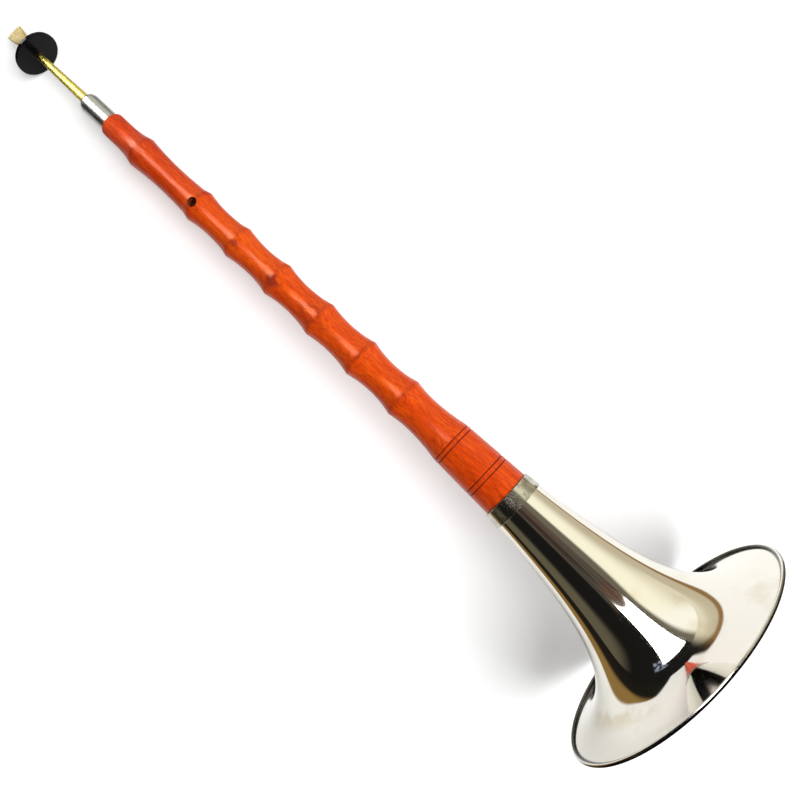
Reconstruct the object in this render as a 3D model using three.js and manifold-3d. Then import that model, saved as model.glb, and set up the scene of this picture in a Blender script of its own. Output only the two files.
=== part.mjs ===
// A double-reed folk horn with a turned wooden body, a metal bell and a brass staple.
// It lies on a table as it is put down: on the rolled rim of its bell and the edge of its lip disc.
// Millimetres, +Z up, +X towards the bell. Origin: under the middle of the object, on the table.
//
// Everything is first built on the horn's own axis. There s is the distance along the axis, 0 at
// the top end of the wood, growing towards the bell. The finished horn is then tilted to its rest.
import * as THREE from 'three';
import { mergeVertices } from 'three/addons/utils/BufferGeometryUtils.js';
import Module from 'manifold-3d';

const wasm = await Module();
wasm.setup();

// Sizes, mm.

// Wooden body, turned with a crest between every two finger holes.
const woodLength = 300;
const woodTopRadius = 7.25;
const woodBottomRadius = 13.7;
const topEdgeRounding = 1.3;
const crestPlaceShares = [0.0863, 0.2433, 0.3453, 0.4477, 0.5553, 0.658, 0.761];
const crestRadiusShares = [0.683, 0.708, 0.721, 0.753, 0.779, 0.83, 0.835];
const valleyPlaceShares = [0.035, 0.166, 0.292, 0.3965, 0.4985, 0.603, 0.7095, 0.8015];
const valleyRadiusShares = [0.527, 0.577, 0.596, 0.613, 0.625, 0.674, 0.6875, 0.7465];
const landLength = 5;
const landRise = 1.15;
const coneStartShare = 0.872;
const coneStartRadiusShare = 0.9;

// Turned double lines round the cone at the lower end.
const groovePlaceShares = [0.8749, 0.8834, 0.9508, 0.96];
const grooveDepth = 0.5;
const grooveWidth = 0.9;

// Bore, holes and the tenon that the bell sits on.
const boreTopRadius = 4.2;
const boreBottomRadius = 9.2;
const fingerHoleRadius = 3.3;
const thumbHoleRadius = 2.8;
const thumbHolePlaceShare = 0.2413;
const thumbHoleTurn = THREE.MathUtils.degToRad(6.5);
const tenonRadius = 12.9;
const tenonLength = 25;

// Clearances.
const fitClearance = 0.15;
const seatGap = 0.3;
const cutOverrun = 3;

// Points closer than this are one point.
const weldDistance = 1e-4;

// Brass staple, a cone known at the disc and at the sleeve's shoulder.
const discPlace = -64.9;
const shoulderPlace = -21.4;
const stapleRadiusAtDisc = 1.93;
const stapleRadiusAtShoulder = 2.9;
const stapleWall = 0.35;
const stapleSeatInReed = 8;

// Sleeve on the staple's lower end, with a spigot that goes into the wood.
const sleeveRadius = 5.8;
const shoulderLength = 4.2;
const shoulderLip = 0.45;
const spigotLength = 22;
const spigotWall = 0.5;
const corkWall = 0.5;
const corkMargin = 2;
const socketSpareDepth = 3;

// Lip disc.
const discRadius = 13.1;
const discThickness = 2;
const discEdgeRounding = 0.5;

// Reed: one flattened cane tube, round on the staple and thin at the tip.
const reedFreeLength = 11.3;
const reedWall = 0.7;
const reedTipWidth = 9.7;
const reedTipThickness = 1.3;
const reedTipWall = 0.35;

// Wire wound round the reed's foot.
const reedWireRadius = 0.28;
const reedWirePitch = 1.15;
const reedWireTurns = 5;
const reedWireMargin = 1;

// Bell: spun shell whose radius follows a horn curve, with its edge rolled round a wire.
const bellLength = 108.7;
const throatRadius = 14.17;
const mouthRadius = 68.4;
const bellWall = 0.5;
const hornFocusBeyondMouth = 4.08;
const hornPower = 0.294;
const hornSlopeShare = 1e-5;
const rimWireRadius = 0.3;
const rimRoll = THREE.MathUtils.degToRad(290);

// Collar strap round the bell's throat, with a small nick in its lower edge.
const collarLength = 8.6;
const collarWall = 0.4;
const nickWidth = 1.1;
const nickDepth = 1.6;
const nickTurn = THREE.MathUtils.degToRad(-58);

// How finely round things are divided.
const woodSides = 28;
const bellSides = 56;
const discSides = 48;
const stapleSides = 24;
const sleeveSides = 32;
const coveSteps = 3;
const riseSteps = 3;
const roundingSteps = 3;
const hornSteps = 15;
const hornCrowding = 2;
const rollSteps = 7;
const holeSides = 16;
const reedSides = 24;
const reedSeatRings = 3;
const reedFreeRings = 6;
const wireSides = 6;
const wireStepsPerTurn = 24;

// Helpers.

const fullTurn = 2 * Math.PI;

// Turns an outline of [radius, s] points round the axis. The outline closes on itself and runs
// towards +s on its outside. A flat facet, not a corner, lies at the bottom.
function turned(outline, sides) {
  const points = outline.map(([radius, s]) => new THREE.Vector2(radius, s));
  points.push(points[0].clone());
  const geometry = new THREE.LatheGeometry(points, sides, Math.PI / sides);
  geometry.rotateZ(-Math.PI / 2);
  return geometry;
}

// A closed body from rings of points: rings[i][j] is point j of ring i, and the last ring
// joins the first one, as in a tube with an outside and an inside.
function ringBody(rings) {
  const count = rings[0].length;
  const positions = rings.flat().flatMap((p) => [p.x, p.y, p.z]);
  const indices = [];
  for (let i = 0; i < rings.length; i += 1) {
    const next = (i + 1) % rings.length;
    for (let j = 0; j < count; j += 1) {
      const k = (j + 1) % count;
      const a = i * count + j;
      const b = next * count + j;
      const c = next * count + k;
      const d = i * count + k;
      indices.push(a, b, c, a, c, d);
    }
  }
  const geometry = new THREE.BufferGeometry();
  geometry.setAttribute('position', new THREE.Float32BufferAttribute(positions, 3));
  geometry.setIndex(indices);
  return geometry;
}

function toSolid(geometry) {
  const bare = new THREE.BufferGeometry();
  bare.setAttribute('position', geometry.getAttribute('position').clone());
  bare.setIndex(geometry.getIndex());
  const merged = mergeVertices(bare, weldDistance);
  return new wasm.Manifold(new wasm.Mesh({
    numProp: 3,
    vertProperties: new Float32Array(merged.getAttribute('position').array),
    triVerts: new Uint32Array(merged.getIndex().array),
  }));
}

function toGeometry(solid) {
  const mesh = solid.getMesh();
  const geometry = new THREE.BufferGeometry();
  const positions = new THREE.Float32BufferAttribute(mesh.vertProperties, 3);
  geometry.setAttribute('position', positions);
  geometry.setIndex(new THREE.BufferAttribute(mesh.triVerts, 1));
  geometry.computeVertexNormals();
  return geometry;
}

function material(color, roughness, metalness) {
  return new THREE.MeshStandardMaterial({ color, roughness, metalness });
}

function piece(name, geometry, finish) {
  const mesh = new THREE.Mesh(geometry, finish);
  mesh.name = name;
  return mesh;
}

// Radius of the brass cone's outside at s.
function stapleRadiusAt(s) {
  const share = (s - discPlace) / (shoulderPlace - discPlace);
  return THREE.MathUtils.lerp(stapleRadiusAtDisc, stapleRadiusAtShoulder, share);
}

// Places that follow from the sizes.

const discFace = discPlace - discThickness / 2;
const discBack = discPlace + discThickness / 2;
const reedFoot = discFace - seatGap;
const stapleTip = reedFoot - stapleSeatInReed;
const reedTip = stapleTip - reedFreeLength;
const sleeveBoreRadius = stapleRadiusAt(spigotLength) + fitClearance;
const spigotRadius = sleeveBoreRadius + spigotWall;
const corkBoreRadius = spigotRadius + fitClearance;
const corkRadius = corkBoreRadius + corkWall;
const socketRadius = corkRadius + fitClearance;
const socketDepth = spigotLength + socketSpareDepth;
const reedFootBore = stapleRadiusAt(reedFoot) + fitClearance;
const reedFootRadius = reedFootBore + reedWall;
const reedWireLine = reedFootRadius + fitClearance + reedWireRadius;
const reedWireOutside = reedWireLine + reedWireRadius;
const bellTop = woodLength + seatGap;
const beadBore = rimWireRadius + fitClearance;
const beadRadius = beadBore + bellWall;

// Wooden body.

// Outside of the wood from its top edge to its shoulder: between two crests the line falls in a
// cove to the valley, rises again, and ends in a short steeper land that carries the crest.
function woodOutside() {
  const line = [];
  for (let i = 0; i <= roundingSteps; i += 1) {
    const turn = (i / roundingSteps) * (Math.PI / 2);
    const radius = woodTopRadius - topEdgeRounding * (1 - Math.sin(turn));
    line.push([radius, topEdgeRounding * (1 - Math.cos(turn))]);
  }
  const valleys = valleyPlaceShares.map((share, i) => (
    { s: share * woodLength, radius: valleyRadiusShares[i] * woodBottomRadius }
  ));
  const crests = crestPlaceShares.map((share, i) => (
    { s: share * woodLength, radius: crestRadiusShares[i] * woodBottomRadius }
  ));
  line.push([valleys[0].radius, valleys[0].s]);
  valleys.forEach((valley, i) => {
    if (i > 0) {
      const from = crests[i - 1];
      for (let k = 1; k <= coveSteps; k += 1) {
        const left = 1 - k / coveSteps;
        const s = THREE.MathUtils.lerp(valley.s, from.s, left);
        line.push([THREE.MathUtils.lerp(valley.radius, from.radius, left * left), s]);
      }
    }
    if (i < crests.length) {
      const crest = crests[i];
      const land = { s: crest.s - landLength, radius: crest.radius - landRise };
      for (let k = 1; k <= riseSteps; k += 1) {
        const gone = k / riseSteps;
        const s = THREE.MathUtils.lerp(valley.s, land.s, gone);
        line.push([THREE.MathUtils.lerp(valley.radius, land.radius, gone * gone), s]);
      }
      line.push([crest.radius, crest.s]);
    }
  });
  const last = valleys[valleys.length - 1];
  const coneStart = coneStartShare * woodLength;
  const coneStartRadius = coneStartRadiusShare * woodBottomRadius;
  for (let k = 1; k <= coveSteps; k += 1) {
    const gone = k / coveSteps;
    const s = THREE.MathUtils.lerp(last.s, coneStart, gone);
    line.push([THREE.MathUtils.lerp(last.radius, coneStartRadius, gone * gone), s]);
  }
  const coneRadiusAt = (s) => {
    const share = (s - coneStart) / (woodLength - coneStart);
    return THREE.MathUtils.lerp(coneStartRadius, woodBottomRadius, share);
  };
  for (const share of groovePlaceShares) {
    const middle = share * woodLength;
    const edges = [middle - grooveWidth / 2, middle + grooveWidth / 2];
    line.push([coneRadiusAt(edges[0]), edges[0]]);
    line.push([coneRadiusAt(middle) - grooveDepth, middle]);
    line.push([coneRadiusAt(edges[1]), edges[1]]);
  }
  line.push([woodBottomRadius, woodLength]);
  return line;
}

// A round cutter from the axis outwards through the wall at s. A turn of 0 points up.
function holeCutter(radius, s, turn) {
  const reach = woodBottomRadius + cutOverrun;
  const cutter = new THREE.CylinderGeometry(radius, radius, reach, holeSides);
  cutter.translate(0, reach / 2, 0);
  cutter.rotateX(Math.PI / 2 + turn);
  cutter.translate(s, 0, 0);
  return toSolid(cutter);
}

function makeWood() {
  const tenonEnd = woodLength + tenonLength;
  const outline = [
    ...woodOutside(),
    [tenonRadius, woodLength],
    [tenonRadius, tenonEnd],
    [boreBottomRadius, tenonEnd],
    [boreTopRadius, socketDepth],
    [socketRadius, socketDepth],
    [socketRadius, 0],
  ];
  let solid = toSolid(turned(outline, woodSides));
  for (const share of valleyPlaceShares.slice(1)) {
    const place = share * woodLength;
    solid = solid.subtract(holeCutter(fingerHoleRadius, place, Math.PI + thumbHoleTurn));
  }
  const thumbPlace = thumbHolePlaceShare * woodLength;
  solid = solid.subtract(holeCutter(thumbHoleRadius, thumbPlace, thumbHoleTurn));
  return toGeometry(solid);
}

// Staple, sleeve and cork.

function makeStaple() {
  const end = spigotLength;
  return turned([
    [stapleRadiusAt(stapleTip), stapleTip],
    [stapleRadiusAt(shoulderPlace), shoulderPlace],
    [stapleRadiusAt(end), end],
    [stapleRadiusAt(end) - stapleWall, end],
    [stapleRadiusAt(stapleTip) - stapleWall, stapleTip],
  ], stapleSides);
}

function makeSleeve() {
  const mouth = stapleRadiusAt(shoulderPlace) + fitClearance;
  const lip = mouth + shoulderLip;
  const outline = [];
  for (let i = 0; i <= roundingSteps; i += 1) {
    const turn = (i / roundingSteps) * (Math.PI / 2);
    const radius = THREE.MathUtils.lerp(lip, sleeveRadius, Math.sin(turn));
    const s = shoulderPlace + shoulderLength * (1 - Math.cos(turn));
    outline.push([radius, s]);
  }
  outline.push([sleeveRadius, -seatGap]);
  outline.push([spigotRadius, -seatGap]);
  outline.push([spigotRadius, spigotLength]);
  outline.push([sleeveBoreRadius, spigotLength]);
  outline.push([sleeveBoreRadius, shoulderPlace + shoulderLength]);
  outline.push([mouth + fitClearance, shoulderPlace + spigotWall]);
  outline.push([mouth, shoulderPlace]);
  return turned(outline, sleeveSides);
}

function makeCork() {
  return turned([
    [corkRadius, corkMargin],
    [corkRadius, spigotLength - corkMargin],
    [corkBoreRadius, spigotLength - corkMargin],
    [corkBoreRadius, corkMargin],
  ], stapleSides);
}

// Lip disc.

// Outer edge of the disc, rounded on both sides, from the reed's side to the sleeve's side.
function discEdge() {
  const inner = discRadius - discEdgeRounding;
  const slope = discEdgeRounding * (1 - Math.SQRT1_2);
  return [
    [inner, discFace],
    [discRadius - slope, discFace + slope],
    [discRadius, discFace + discEdgeRounding],
    [discRadius, discBack - discEdgeRounding],
    [discRadius - slope, discBack - slope],
    [inner, discBack],
  ];
}

function makeDisc() {
  const waist = discPlace;
  return turned([
    ...discEdge(),
    [stapleRadiusAt(discBack) + fitClearance, discBack],
    [stapleRadiusAt(waist) + fitClearance, waist],
    [reedWireOutside + fitClearance, discFace],
  ], discSides);
}

// Reed and its wire.

// One closed curve round the reed at s: an oval of the given half width and half thickness.
function reedRing(s, halfWidth, halfThickness) {
  const ring = [];
  for (let j = 0; j < reedSides; j += 1) {
    const turn = (j / reedSides) * fullTurn;
    ring.push(new THREE.Vector3(s, halfWidth * Math.cos(turn), halfThickness * Math.sin(turn)));
  }
  return ring;
}

function makeReed() {
  const outside = [];
  const inside = [];
  for (let i = 0; i < reedSeatRings; i += 1) {
    const s = THREE.MathUtils.lerp(reedFoot, stapleTip, i / reedSeatRings);
    outside.push(reedRing(s, reedFootRadius, reedFootRadius));
    inside.push(reedRing(s, reedFootBore, reedFootBore));
  }
  for (let i = 0; i <= reedFreeRings; i += 1) {
    const left = 1 - i / reedFreeRings;
    const gone = 1 - left * left;
    const s = THREE.MathUtils.lerp(reedTip, stapleTip, left);
    const halfWidth = THREE.MathUtils.lerp(reedFootRadius, reedTipWidth / 2, gone);
    const halfThickness = THREE.MathUtils.lerp(reedFootRadius, reedTipThickness / 2, gone);
    const wall = THREE.MathUtils.lerp(reedWall, reedTipWall, gone);
    outside.push(reedRing(s, halfWidth, halfThickness));
    inside.push(reedRing(s, halfWidth - wall, halfThickness - wall));
  }
  return ringBody([...outside, ...inside.reverse()]);
}

// The wire's centre line: a screw line of even pitch round the reed's foot.
function reedWirePoint(share) {
  const turn = share * reedWireTurns * fullTurn;
  const start = reedFoot - reedWireMargin;
  return new THREE.Vector3(
    start - share * reedWireTurns * reedWirePitch,
    reedWireLine * Math.cos(turn),
    reedWireLine * Math.sin(turn),
  );
}

// Least gap between neighbouring turns, measured on points of the centre line.
function leastWireGap() {
  const steps = reedWireTurns * wireStepsPerTurn;
  const points = Array.from({ length: steps + 1 }, (_, i) => reedWirePoint(i / steps));
  let least = Infinity;
  points.forEach((p, i) => {
    points.slice(i + wireStepsPerTurn / 2).forEach((q) => {
      least = Math.min(least, p.distanceTo(q) - 2 * reedWireRadius);
    });
  });
  return least;
}

function makeReedWire() {
  const steps = reedWireTurns * wireStepsPerTurn;
  const along = new THREE.Vector3(1, 0, 0);
  const positions = [];
  const indices = [];
  for (let i = 0; i <= steps; i += 1) {
    const centre = reedWirePoint(i / steps);
    const turn = (i / steps) * reedWireTurns * fullTurn;
    const outward = new THREE.Vector3(0, Math.cos(turn), Math.sin(turn));
    for (let j = 0; j < wireSides; j += 1) {
      const angle = (j / wireSides) * fullTurn;
      const p = centre.clone();
      p.addScaledVector(outward, reedWireRadius * Math.cos(angle));
      p.addScaledVector(along, reedWireRadius * Math.sin(angle));
      positions.push(p.x, p.y, p.z);
    }
  }
  for (let i = 0; i < steps; i += 1) {
    for (let j = 0; j < wireSides; j += 1) {
      const k = (j + 1) % wireSides;
      const a = i * wireSides + j;
      const b = a + wireSides;
      const c = (i + 1) * wireSides + k;
      const d = i * wireSides + k;
      indices.push(a, b, c, a, c, d);
    }
  }
  const last = steps * wireSides;
  for (let j = 1; j < wireSides - 1; j += 1) {
    indices.push(0, j, j + 1);
    indices.push(last, last + j + 1, last + j);
  }
  const geometry = new THREE.BufferGeometry();
  geometry.setAttribute('position', new THREE.Float32BufferAttribute(positions, 3));
  geometry.setIndex(indices);
  return geometry;
}

// Bell.

// Horn curve: outer radius of the bell at a distance x below its top.
function hornRadius(x) {
  const full = bellLength + hornFocusBeyondMouth;
  const atTop = (full / bellLength) ** -hornPower;
  const atMouth = (hornFocusBeyondMouth / bellLength) ** -hornPower;
  const here = ((full - x) / bellLength) ** -hornPower;
  return THREE.MathUtils.lerp(throatRadius, mouthRadius, (here - atTop) / (atMouth - atTop));
}

// Angle between the axis and the horn curve at x.
function hornSlope(x) {
  const step = bellLength * hornSlopeShare;
  return Math.atan2(hornRadius(x) - hornRadius(x - step), step);
}

// Centre of the rolled edge, level with the end of the horn curve.
function beadCentre() {
  const slope = hornSlope(bellLength);
  return {
    slope,
    radius: mouthRadius + beadBore * Math.cos(slope),
    s: bellTop + bellLength - beadBore * Math.sin(slope),
  };
}

// The shell's section: down the outside, round the inside of the roll, back along its outside
// and up the inside of the bell.
function bellOutline() {
  const outside = [];
  const inside = [];
  for (let i = 0; i <= hornSteps; i += 1) {
    const x = bellLength * (1 - (1 - i / hornSteps) ** hornCrowding);
    const slope = hornSlope(x);
    const radius = hornRadius(x);
    outside.push([radius, bellTop + x]);
    inside.push([radius - bellWall * Math.cos(slope), bellTop + x + bellWall * Math.sin(slope)]);
  }
  inside[0] = [throatRadius - bellWall, bellTop];
  const bead = beadCentre();
  for (let i = 1; i <= rollSteps; i += 1) {
    const angle = bead.slope - Math.PI / 2 + (i / rollSteps) * rimRoll;
    const cos = Math.cos(angle);
    const sin = Math.sin(angle);
    outside.push([bead.radius + beadBore * sin, bead.s + beadBore * cos]);
    inside.push([bead.radius + beadRadius * sin, bead.s + beadRadius * cos]);
  }
  return [...outside, ...inside.reverse()];
}

function makeRimWire() {
  const bead = beadCentre();
  const outline = [];
  for (let i = 0; i < wireSides; i += 1) {
    const angle = -(i / wireSides) * fullTurn;
    const radius = bead.radius + rimWireRadius * Math.cos(angle);
    outline.push([radius, bead.s - rimWireRadius * Math.sin(angle)]);
  }
  return turned(outline, bellSides);
}

function makeCollar() {
  const top = bellTop;
  const end = bellTop + collarLength;
  const bore = (s) => hornRadius(s - bellTop) + fitClearance;
  const solid = toSolid(turned([
    [bore(top) + collarWall, top],
    [bore(end) + collarWall, end],
    [bore(end), end],
    [bore(top), top],
  ], bellSides));
  const reach = bore(end) + collarWall + cutOverrun;
  const nick = new THREE.BoxGeometry(nickDepth + cutOverrun, nickWidth, reach);
  nick.translate(end - nickDepth + (nickDepth + cutOverrun) / 2, 0, reach / 2);
  nick.rotateX(nickTurn);
  return toGeometry(solid.subtract(toSolid(nick)));
}

// Resting slope.

// The horn rests on its disc and its bell. The slope is that of the line that touches both
// sections from below, measured at the middle of a facet, where they meet the table.
function restingSlope() {
  const discPoints = discEdge().map(([r, s]) => ({ s, r: r * Math.cos(Math.PI / discSides) }));
  const bellPoints = bellOutline().map(([r, s]) => ({ s, r: r * Math.cos(Math.PI / bellSides) }));
  let slope = Math.asin((mouthRadius - discRadius) / (bellTop + bellLength - discPlace));
  const depth = (p) => p.r * Math.cos(slope) - p.s * Math.sin(slope);
  for (let i = 0; i < 6; i += 1) {
    const a = discPoints.reduce((best, p) => (depth(p) > depth(best) ? p : best));
    const b = bellPoints.reduce((best, p) => (depth(p) > depth(best) ? p : best));
    slope = Math.atan2(b.r - a.r, b.s - a.s);
  }
  return slope;
}

// Assembly.

const redWood = material(0xd2451a, 0.35, 0);
const brass = material(0xc9b458, 0.25, 1);
const nickel = material(0xd8d6cc, 0.15, 1);
const dullNickel = material(0xb9b7a8, 0.4, 1);
const blackPlastic = material(0x1d1f21, 0.2, 0);
const cane = material(0xd7c37d, 0.6, 0);
const corkTan = material(0xb98a5a, 0.9, 0);
const copper = material(0xb87048, 0.35, 1);
const steel = material(0x8f9296, 0.4, 1);

const horn = new THREE.Group();
horn.add(piece('wood_body', makeWood(), redWood));
horn.add(piece('staple_tube', makeStaple(), brass));
horn.add(piece('staple_sleeve', makeSleeve(), nickel));
horn.add(piece('staple_cork', makeCork(), corkTan));
horn.add(piece('lip_disc', makeDisc(), blackPlastic));
horn.add(piece('reed', makeReed(), cane));
horn.add(piece('reed_wire', makeReedWire(), copper));
horn.add(piece('bell_flare', turned(bellOutline(), bellSides), nickel));
horn.add(piece('bell_collar', makeCollar(), dullNickel));
horn.add(piece('bell_rim_wire', makeRimWire(), steel));
console.log(`least gap between turns of the reed wire: ${leastWireGap().toFixed(3)} mm`);

const slope = restingSlope();
horn.rotation.y = -slope;
console.log(`resting slope: ${THREE.MathUtils.radToDeg(slope).toFixed(4)} degrees`);

const suona = new THREE.Group();
suona.add(horn);
suona.updateMatrixWorld(true);
const extent = new THREE.Box3().setFromObject(suona, true);
const middle = extent.getCenter(new THREE.Vector3());
horn.position.set(-middle.x, -middle.y, -extent.min.z);
suona.updateMatrixWorld(true);
const woodTop = horn.position.toArray().map((value) => value.toFixed(4)).join(', ');
console.log(`middle of the wood's top end: ${woodTop} mm`);

export default suona;
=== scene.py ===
"""A folk horn with a red turned body and a bright metal bell, lying on a pale table.

Lengths are millimetres on the horn's own axis until a mesh is placed: s runs from the top end of
the wood towards the bell, y and z lie across it. The part's frame is in metres.
"""

import logging
import math
from dataclasses import dataclass, field
from enum import Enum
from typing import Any, Optional, Sequence, Union

import bmesh
import bpy
import numpy as np
from mathutils import Matrix, Vector


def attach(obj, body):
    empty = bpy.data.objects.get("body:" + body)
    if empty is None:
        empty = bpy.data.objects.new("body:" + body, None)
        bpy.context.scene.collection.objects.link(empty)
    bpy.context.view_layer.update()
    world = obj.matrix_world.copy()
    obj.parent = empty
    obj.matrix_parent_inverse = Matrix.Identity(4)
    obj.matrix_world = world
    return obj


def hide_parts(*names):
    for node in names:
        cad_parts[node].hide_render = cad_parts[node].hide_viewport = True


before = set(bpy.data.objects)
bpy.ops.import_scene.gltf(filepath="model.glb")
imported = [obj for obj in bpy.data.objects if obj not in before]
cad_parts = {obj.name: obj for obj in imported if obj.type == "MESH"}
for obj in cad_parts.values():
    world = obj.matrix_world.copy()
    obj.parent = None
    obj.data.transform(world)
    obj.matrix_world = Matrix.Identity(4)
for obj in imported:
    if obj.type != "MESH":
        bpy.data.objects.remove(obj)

LOG = logging.getLogger("horn")
MM = 0.001
FULL_TURN = 2 * math.pi
QUARTER_TURN = math.pi / 2

# A share that is too small to show.
HAIR = 1e-5

Colour = tuple[float, float, float]
Place = tuple[float, float, float]
Outline = list[tuple[float, float]]
Link = bpy.types.NodeSocket

# A soft step's two ends, and a pattern's waves to the millimetre along the horn and across it.
Zone = tuple[float, float]
Grain = tuple[float, float]

# An edge that runs at a slant: x at its two ends, then y at them.
Slant = tuple[float, float, float, float]


class Body(Enum):
    """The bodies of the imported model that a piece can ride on."""

    WOOD = "body"
    STAPLE = "staple"
    DISC = "disc"
    REED = "reed"
    BELL = "bell"


def lerp(a: float, b: float, share: float) -> float:
    """The value that lies at a share of the way from a to b."""
    return a + (b - a) * share


def tone(red: int, green: int, blue: int) -> Colour:
    """Turns a colour as it looks on screen, 0 to 255, into linear light.

    Args:
        red: the red channel.
        green: the green channel.
        blue: the blue channel.

    Returns:
        The three channels in linear light, 0 to 1.
    """

    def linear(level: float) -> float:
        """One channel in linear light."""
        level /= 255
        return level / 12.92 if level <= 0.04045 else ((level + 0.055) / 1.055) ** 2.4

    return (linear(red), linear(green), linear(blue))


# Node trees.


class NodeTree:
    """A node tree that is put together in the script."""

    def __init__(self, tree: bpy.types.NodeTree) -> None:
        """Takes over an existing tree and empties it."""
        self.tree = tree
        tree.nodes.clear()

    def add(
        self,
        kind: str,
        settings: Optional[dict[str, Any]] = None,
        inputs: Optional[dict[Union[str, int], Any]] = None,
    ) -> bpy.types.Node:
        """Adds one node.

        Args:
            kind: the node's type.
            settings: its own properties, set first; "stops" fills a colour ramp.
            inputs: values or links by the name or the place of the socket.

        Returns:
            The node.
        """
        node = self.tree.nodes.new(kind)
        for key, setting in (settings or {}).items():
            if key == "stops":
                self._stops(node.color_ramp, setting)
            else:
                setattr(node, key, setting)
        for key, given in (inputs or {}).items():
            socket = node.inputs[key]
            source = given.socket if isinstance(given, Value) else given
            if isinstance(source, Link):
                self.tree.links.new(source, socket)
            elif socket.type == "RGBA" and len(source) == 3:
                socket.default_value = (*source, 1.0)
            else:
                socket.default_value = source
        return node

    def _stops(self, ramp: bpy.types.ColorRamp, stops: Sequence[tuple[float, Colour]]) -> None:
        """Gives a colour ramp its stops, in order.

        Args:
            ramp: the ramp.
            stops: places from 0 to 1 and their colours.
        """
        while len(ramp.elements) < len(stops):
            ramp.elements.new(1.0)
        for element, (place, colour) in zip(ramp.elements, stops):
            element.position = place
            element.color = (*colour, 1.0)

    def math(self, operation: str, *terms: Any, clamp: bool = False) -> "Value":
        """A Math node.

        Args:
            operation: what it does.
            terms: one to three numbers or links.
            clamp: whether the result is kept between 0 and 1.

        Returns:
            The result.
        """
        settings = {"operation": operation, "use_clamp": clamp}
        node = self.add("ShaderNodeMath", settings, dict(enumerate(terms)))
        return Value(self, node.outputs[0])

    def vector(self, operation: str, *terms: Any, **named: Any) -> Link:
        """A Vector Math node.

        Args:
            operation: what it does.
            terms: vectors or links, in order.
            named: inputs that go by their name.

        Returns:
            The resulting vector.
        """
        inputs = {**dict(enumerate(terms)), **named}
        node = self.add("ShaderNodeVectorMath", {"operation": operation}, inputs)
        return node.outputs["Vector"]

    def split(self, vector: Link) -> tuple["Value", "Value", "Value"]:
        """The three numbers of a vector."""
        node = self.add("ShaderNodeSeparateXYZ", inputs={0: vector})
        return tuple(Value(self, node.outputs[i]) for i in range(3))

    def join(self, x: Any, y: Any, z: Any) -> Link:
        """A vector of three numbers."""
        return self.add("ShaderNodeCombineXYZ", inputs={0: x, 1: y, 2: z}).outputs[0]

    def mix(self, share: Any, a: Any, b: Any) -> Link:
        """A colour that goes from a, where the share is 0, to b, where it is 1."""
        node = self.add("ShaderNodeMix", {"data_type": "RGBA"}, {0: share, 6: a, 7: b})
        return node.outputs[2]

    def noise(
        self, vector: Any, scale: float = 1.0, detail: float = 2.0, rough: float = 0.5
    ) -> "Value":
        """Smooth noise between 0 and 1."""
        inputs = {"Vector": vector, "Scale": scale, "Detail": detail, "Roughness": rough}
        return Value(self, self.add("ShaderNodeTexNoise", inputs=inputs).outputs[0])

    def cells(self, vector: Any, scale: float) -> "Value":
        """Distance to the nearest of many scattered points."""
        node = self.add("ShaderNodeTexVoronoi", inputs={"Vector": vector, "Scale": scale})
        return Value(self, node.outputs["Distance"])

    def bump(self, height: "Value", depth: float, strength: float) -> Link:
        """A normal from a height of 0 to 1 and the depth in millimetres that 1 stands for."""
        inputs = {"Strength": strength, "Distance": depth * MM, "Height": height}
        return self.add("ShaderNodeBump", inputs=inputs).outputs[0]


class Value:
    """A number's socket, so that sums on it are written as Python expressions."""

    def __init__(self, tree: NodeTree, socket: Link) -> None:
        """Wraps a socket of a tree."""
        self.tree = tree
        self.socket = socket

    def __add__(self, other: Any) -> "Value":
        """The sum."""
        return self.tree.math("ADD", self, other)

    def __sub__(self, other: Any) -> "Value":
        """The difference."""
        return self.tree.math("SUBTRACT", self, other)

    def __rsub__(self, other: Any) -> "Value":
        """The difference, the other way round."""
        return self.tree.math("SUBTRACT", other, self)

    def __mul__(self, other: Any) -> "Value":
        """The product."""
        return self.tree.math("MULTIPLY", self, other)

    def __truediv__(self, other: Any) -> "Value":
        """The quotient."""
        return self.tree.math("DIVIDE", self, other)

    def __rtruediv__(self, other: Any) -> "Value":
        """The quotient, the other way round."""
        return self.tree.math("DIVIDE", other, self)

    def __pow__(self, other: Any) -> "Value":
        """The power."""
        return self.tree.math("POWER", self, other)

    def __neg__(self) -> "Value":
        """The negative."""
        return self.tree.math("MULTIPLY", self, -1.0)

    __radd__ = __add__
    __rmul__ = __mul__

    def size(self) -> "Value":
        """The value without its sign."""
        return self.tree.math("ABSOLUTE", self)

    def root(self) -> "Value":
        """The square root."""
        return self.tree.math("SQRT", self)

    def wave(self) -> "Value":
        """The sine, as 0 to 1."""
        return self.tree.math("SINE", self) * 0.5 + 0.5

    def cosine(self) -> "Value":
        """The cosine."""
        return self.tree.math("COSINE", self)

    def sine(self) -> "Value":
        """The sine."""
        return self.tree.math("SINE", self)

    def remainder(self) -> "Value":
        """What is left over the whole number below."""
        return self.tree.math("FRACT", self)

    def limited(self) -> "Value":
        """The value kept between 0 and 1."""
        return self.tree.math("ADD", self, 0.0, clamp=True)

    def above(self, low: float, high: float) -> "Value":
        """0 below low, 1 above high and a soft step between them."""
        return self.span(low, high, 0.0, 1.0)

    def below(self, low: float, high: float) -> "Value":
        """1 below low, 0 above high and a soft step between them."""
        return self.span(low, high, 1.0, 0.0)

    def span(self, low: float, high: float, start: float, end: float) -> "Value":
        """Goes softly from one number to another.

        Args:
            low: where the step begins.
            high: where it is over.
            start: the number below the step.
            end: the number above it.

        Returns:
            The number.
        """
        settings = {"interpolation_type": "SMOOTHSTEP"}
        inputs = {0: self, 1: low, 2: high, 3: start, 4: end}
        node = self.tree.add("ShaderNodeMapRange", settings, inputs)
        return Value(self.tree, node.outputs[0])


# The horn's place in the part's frame, and the sizes that several pieces share.


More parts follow.
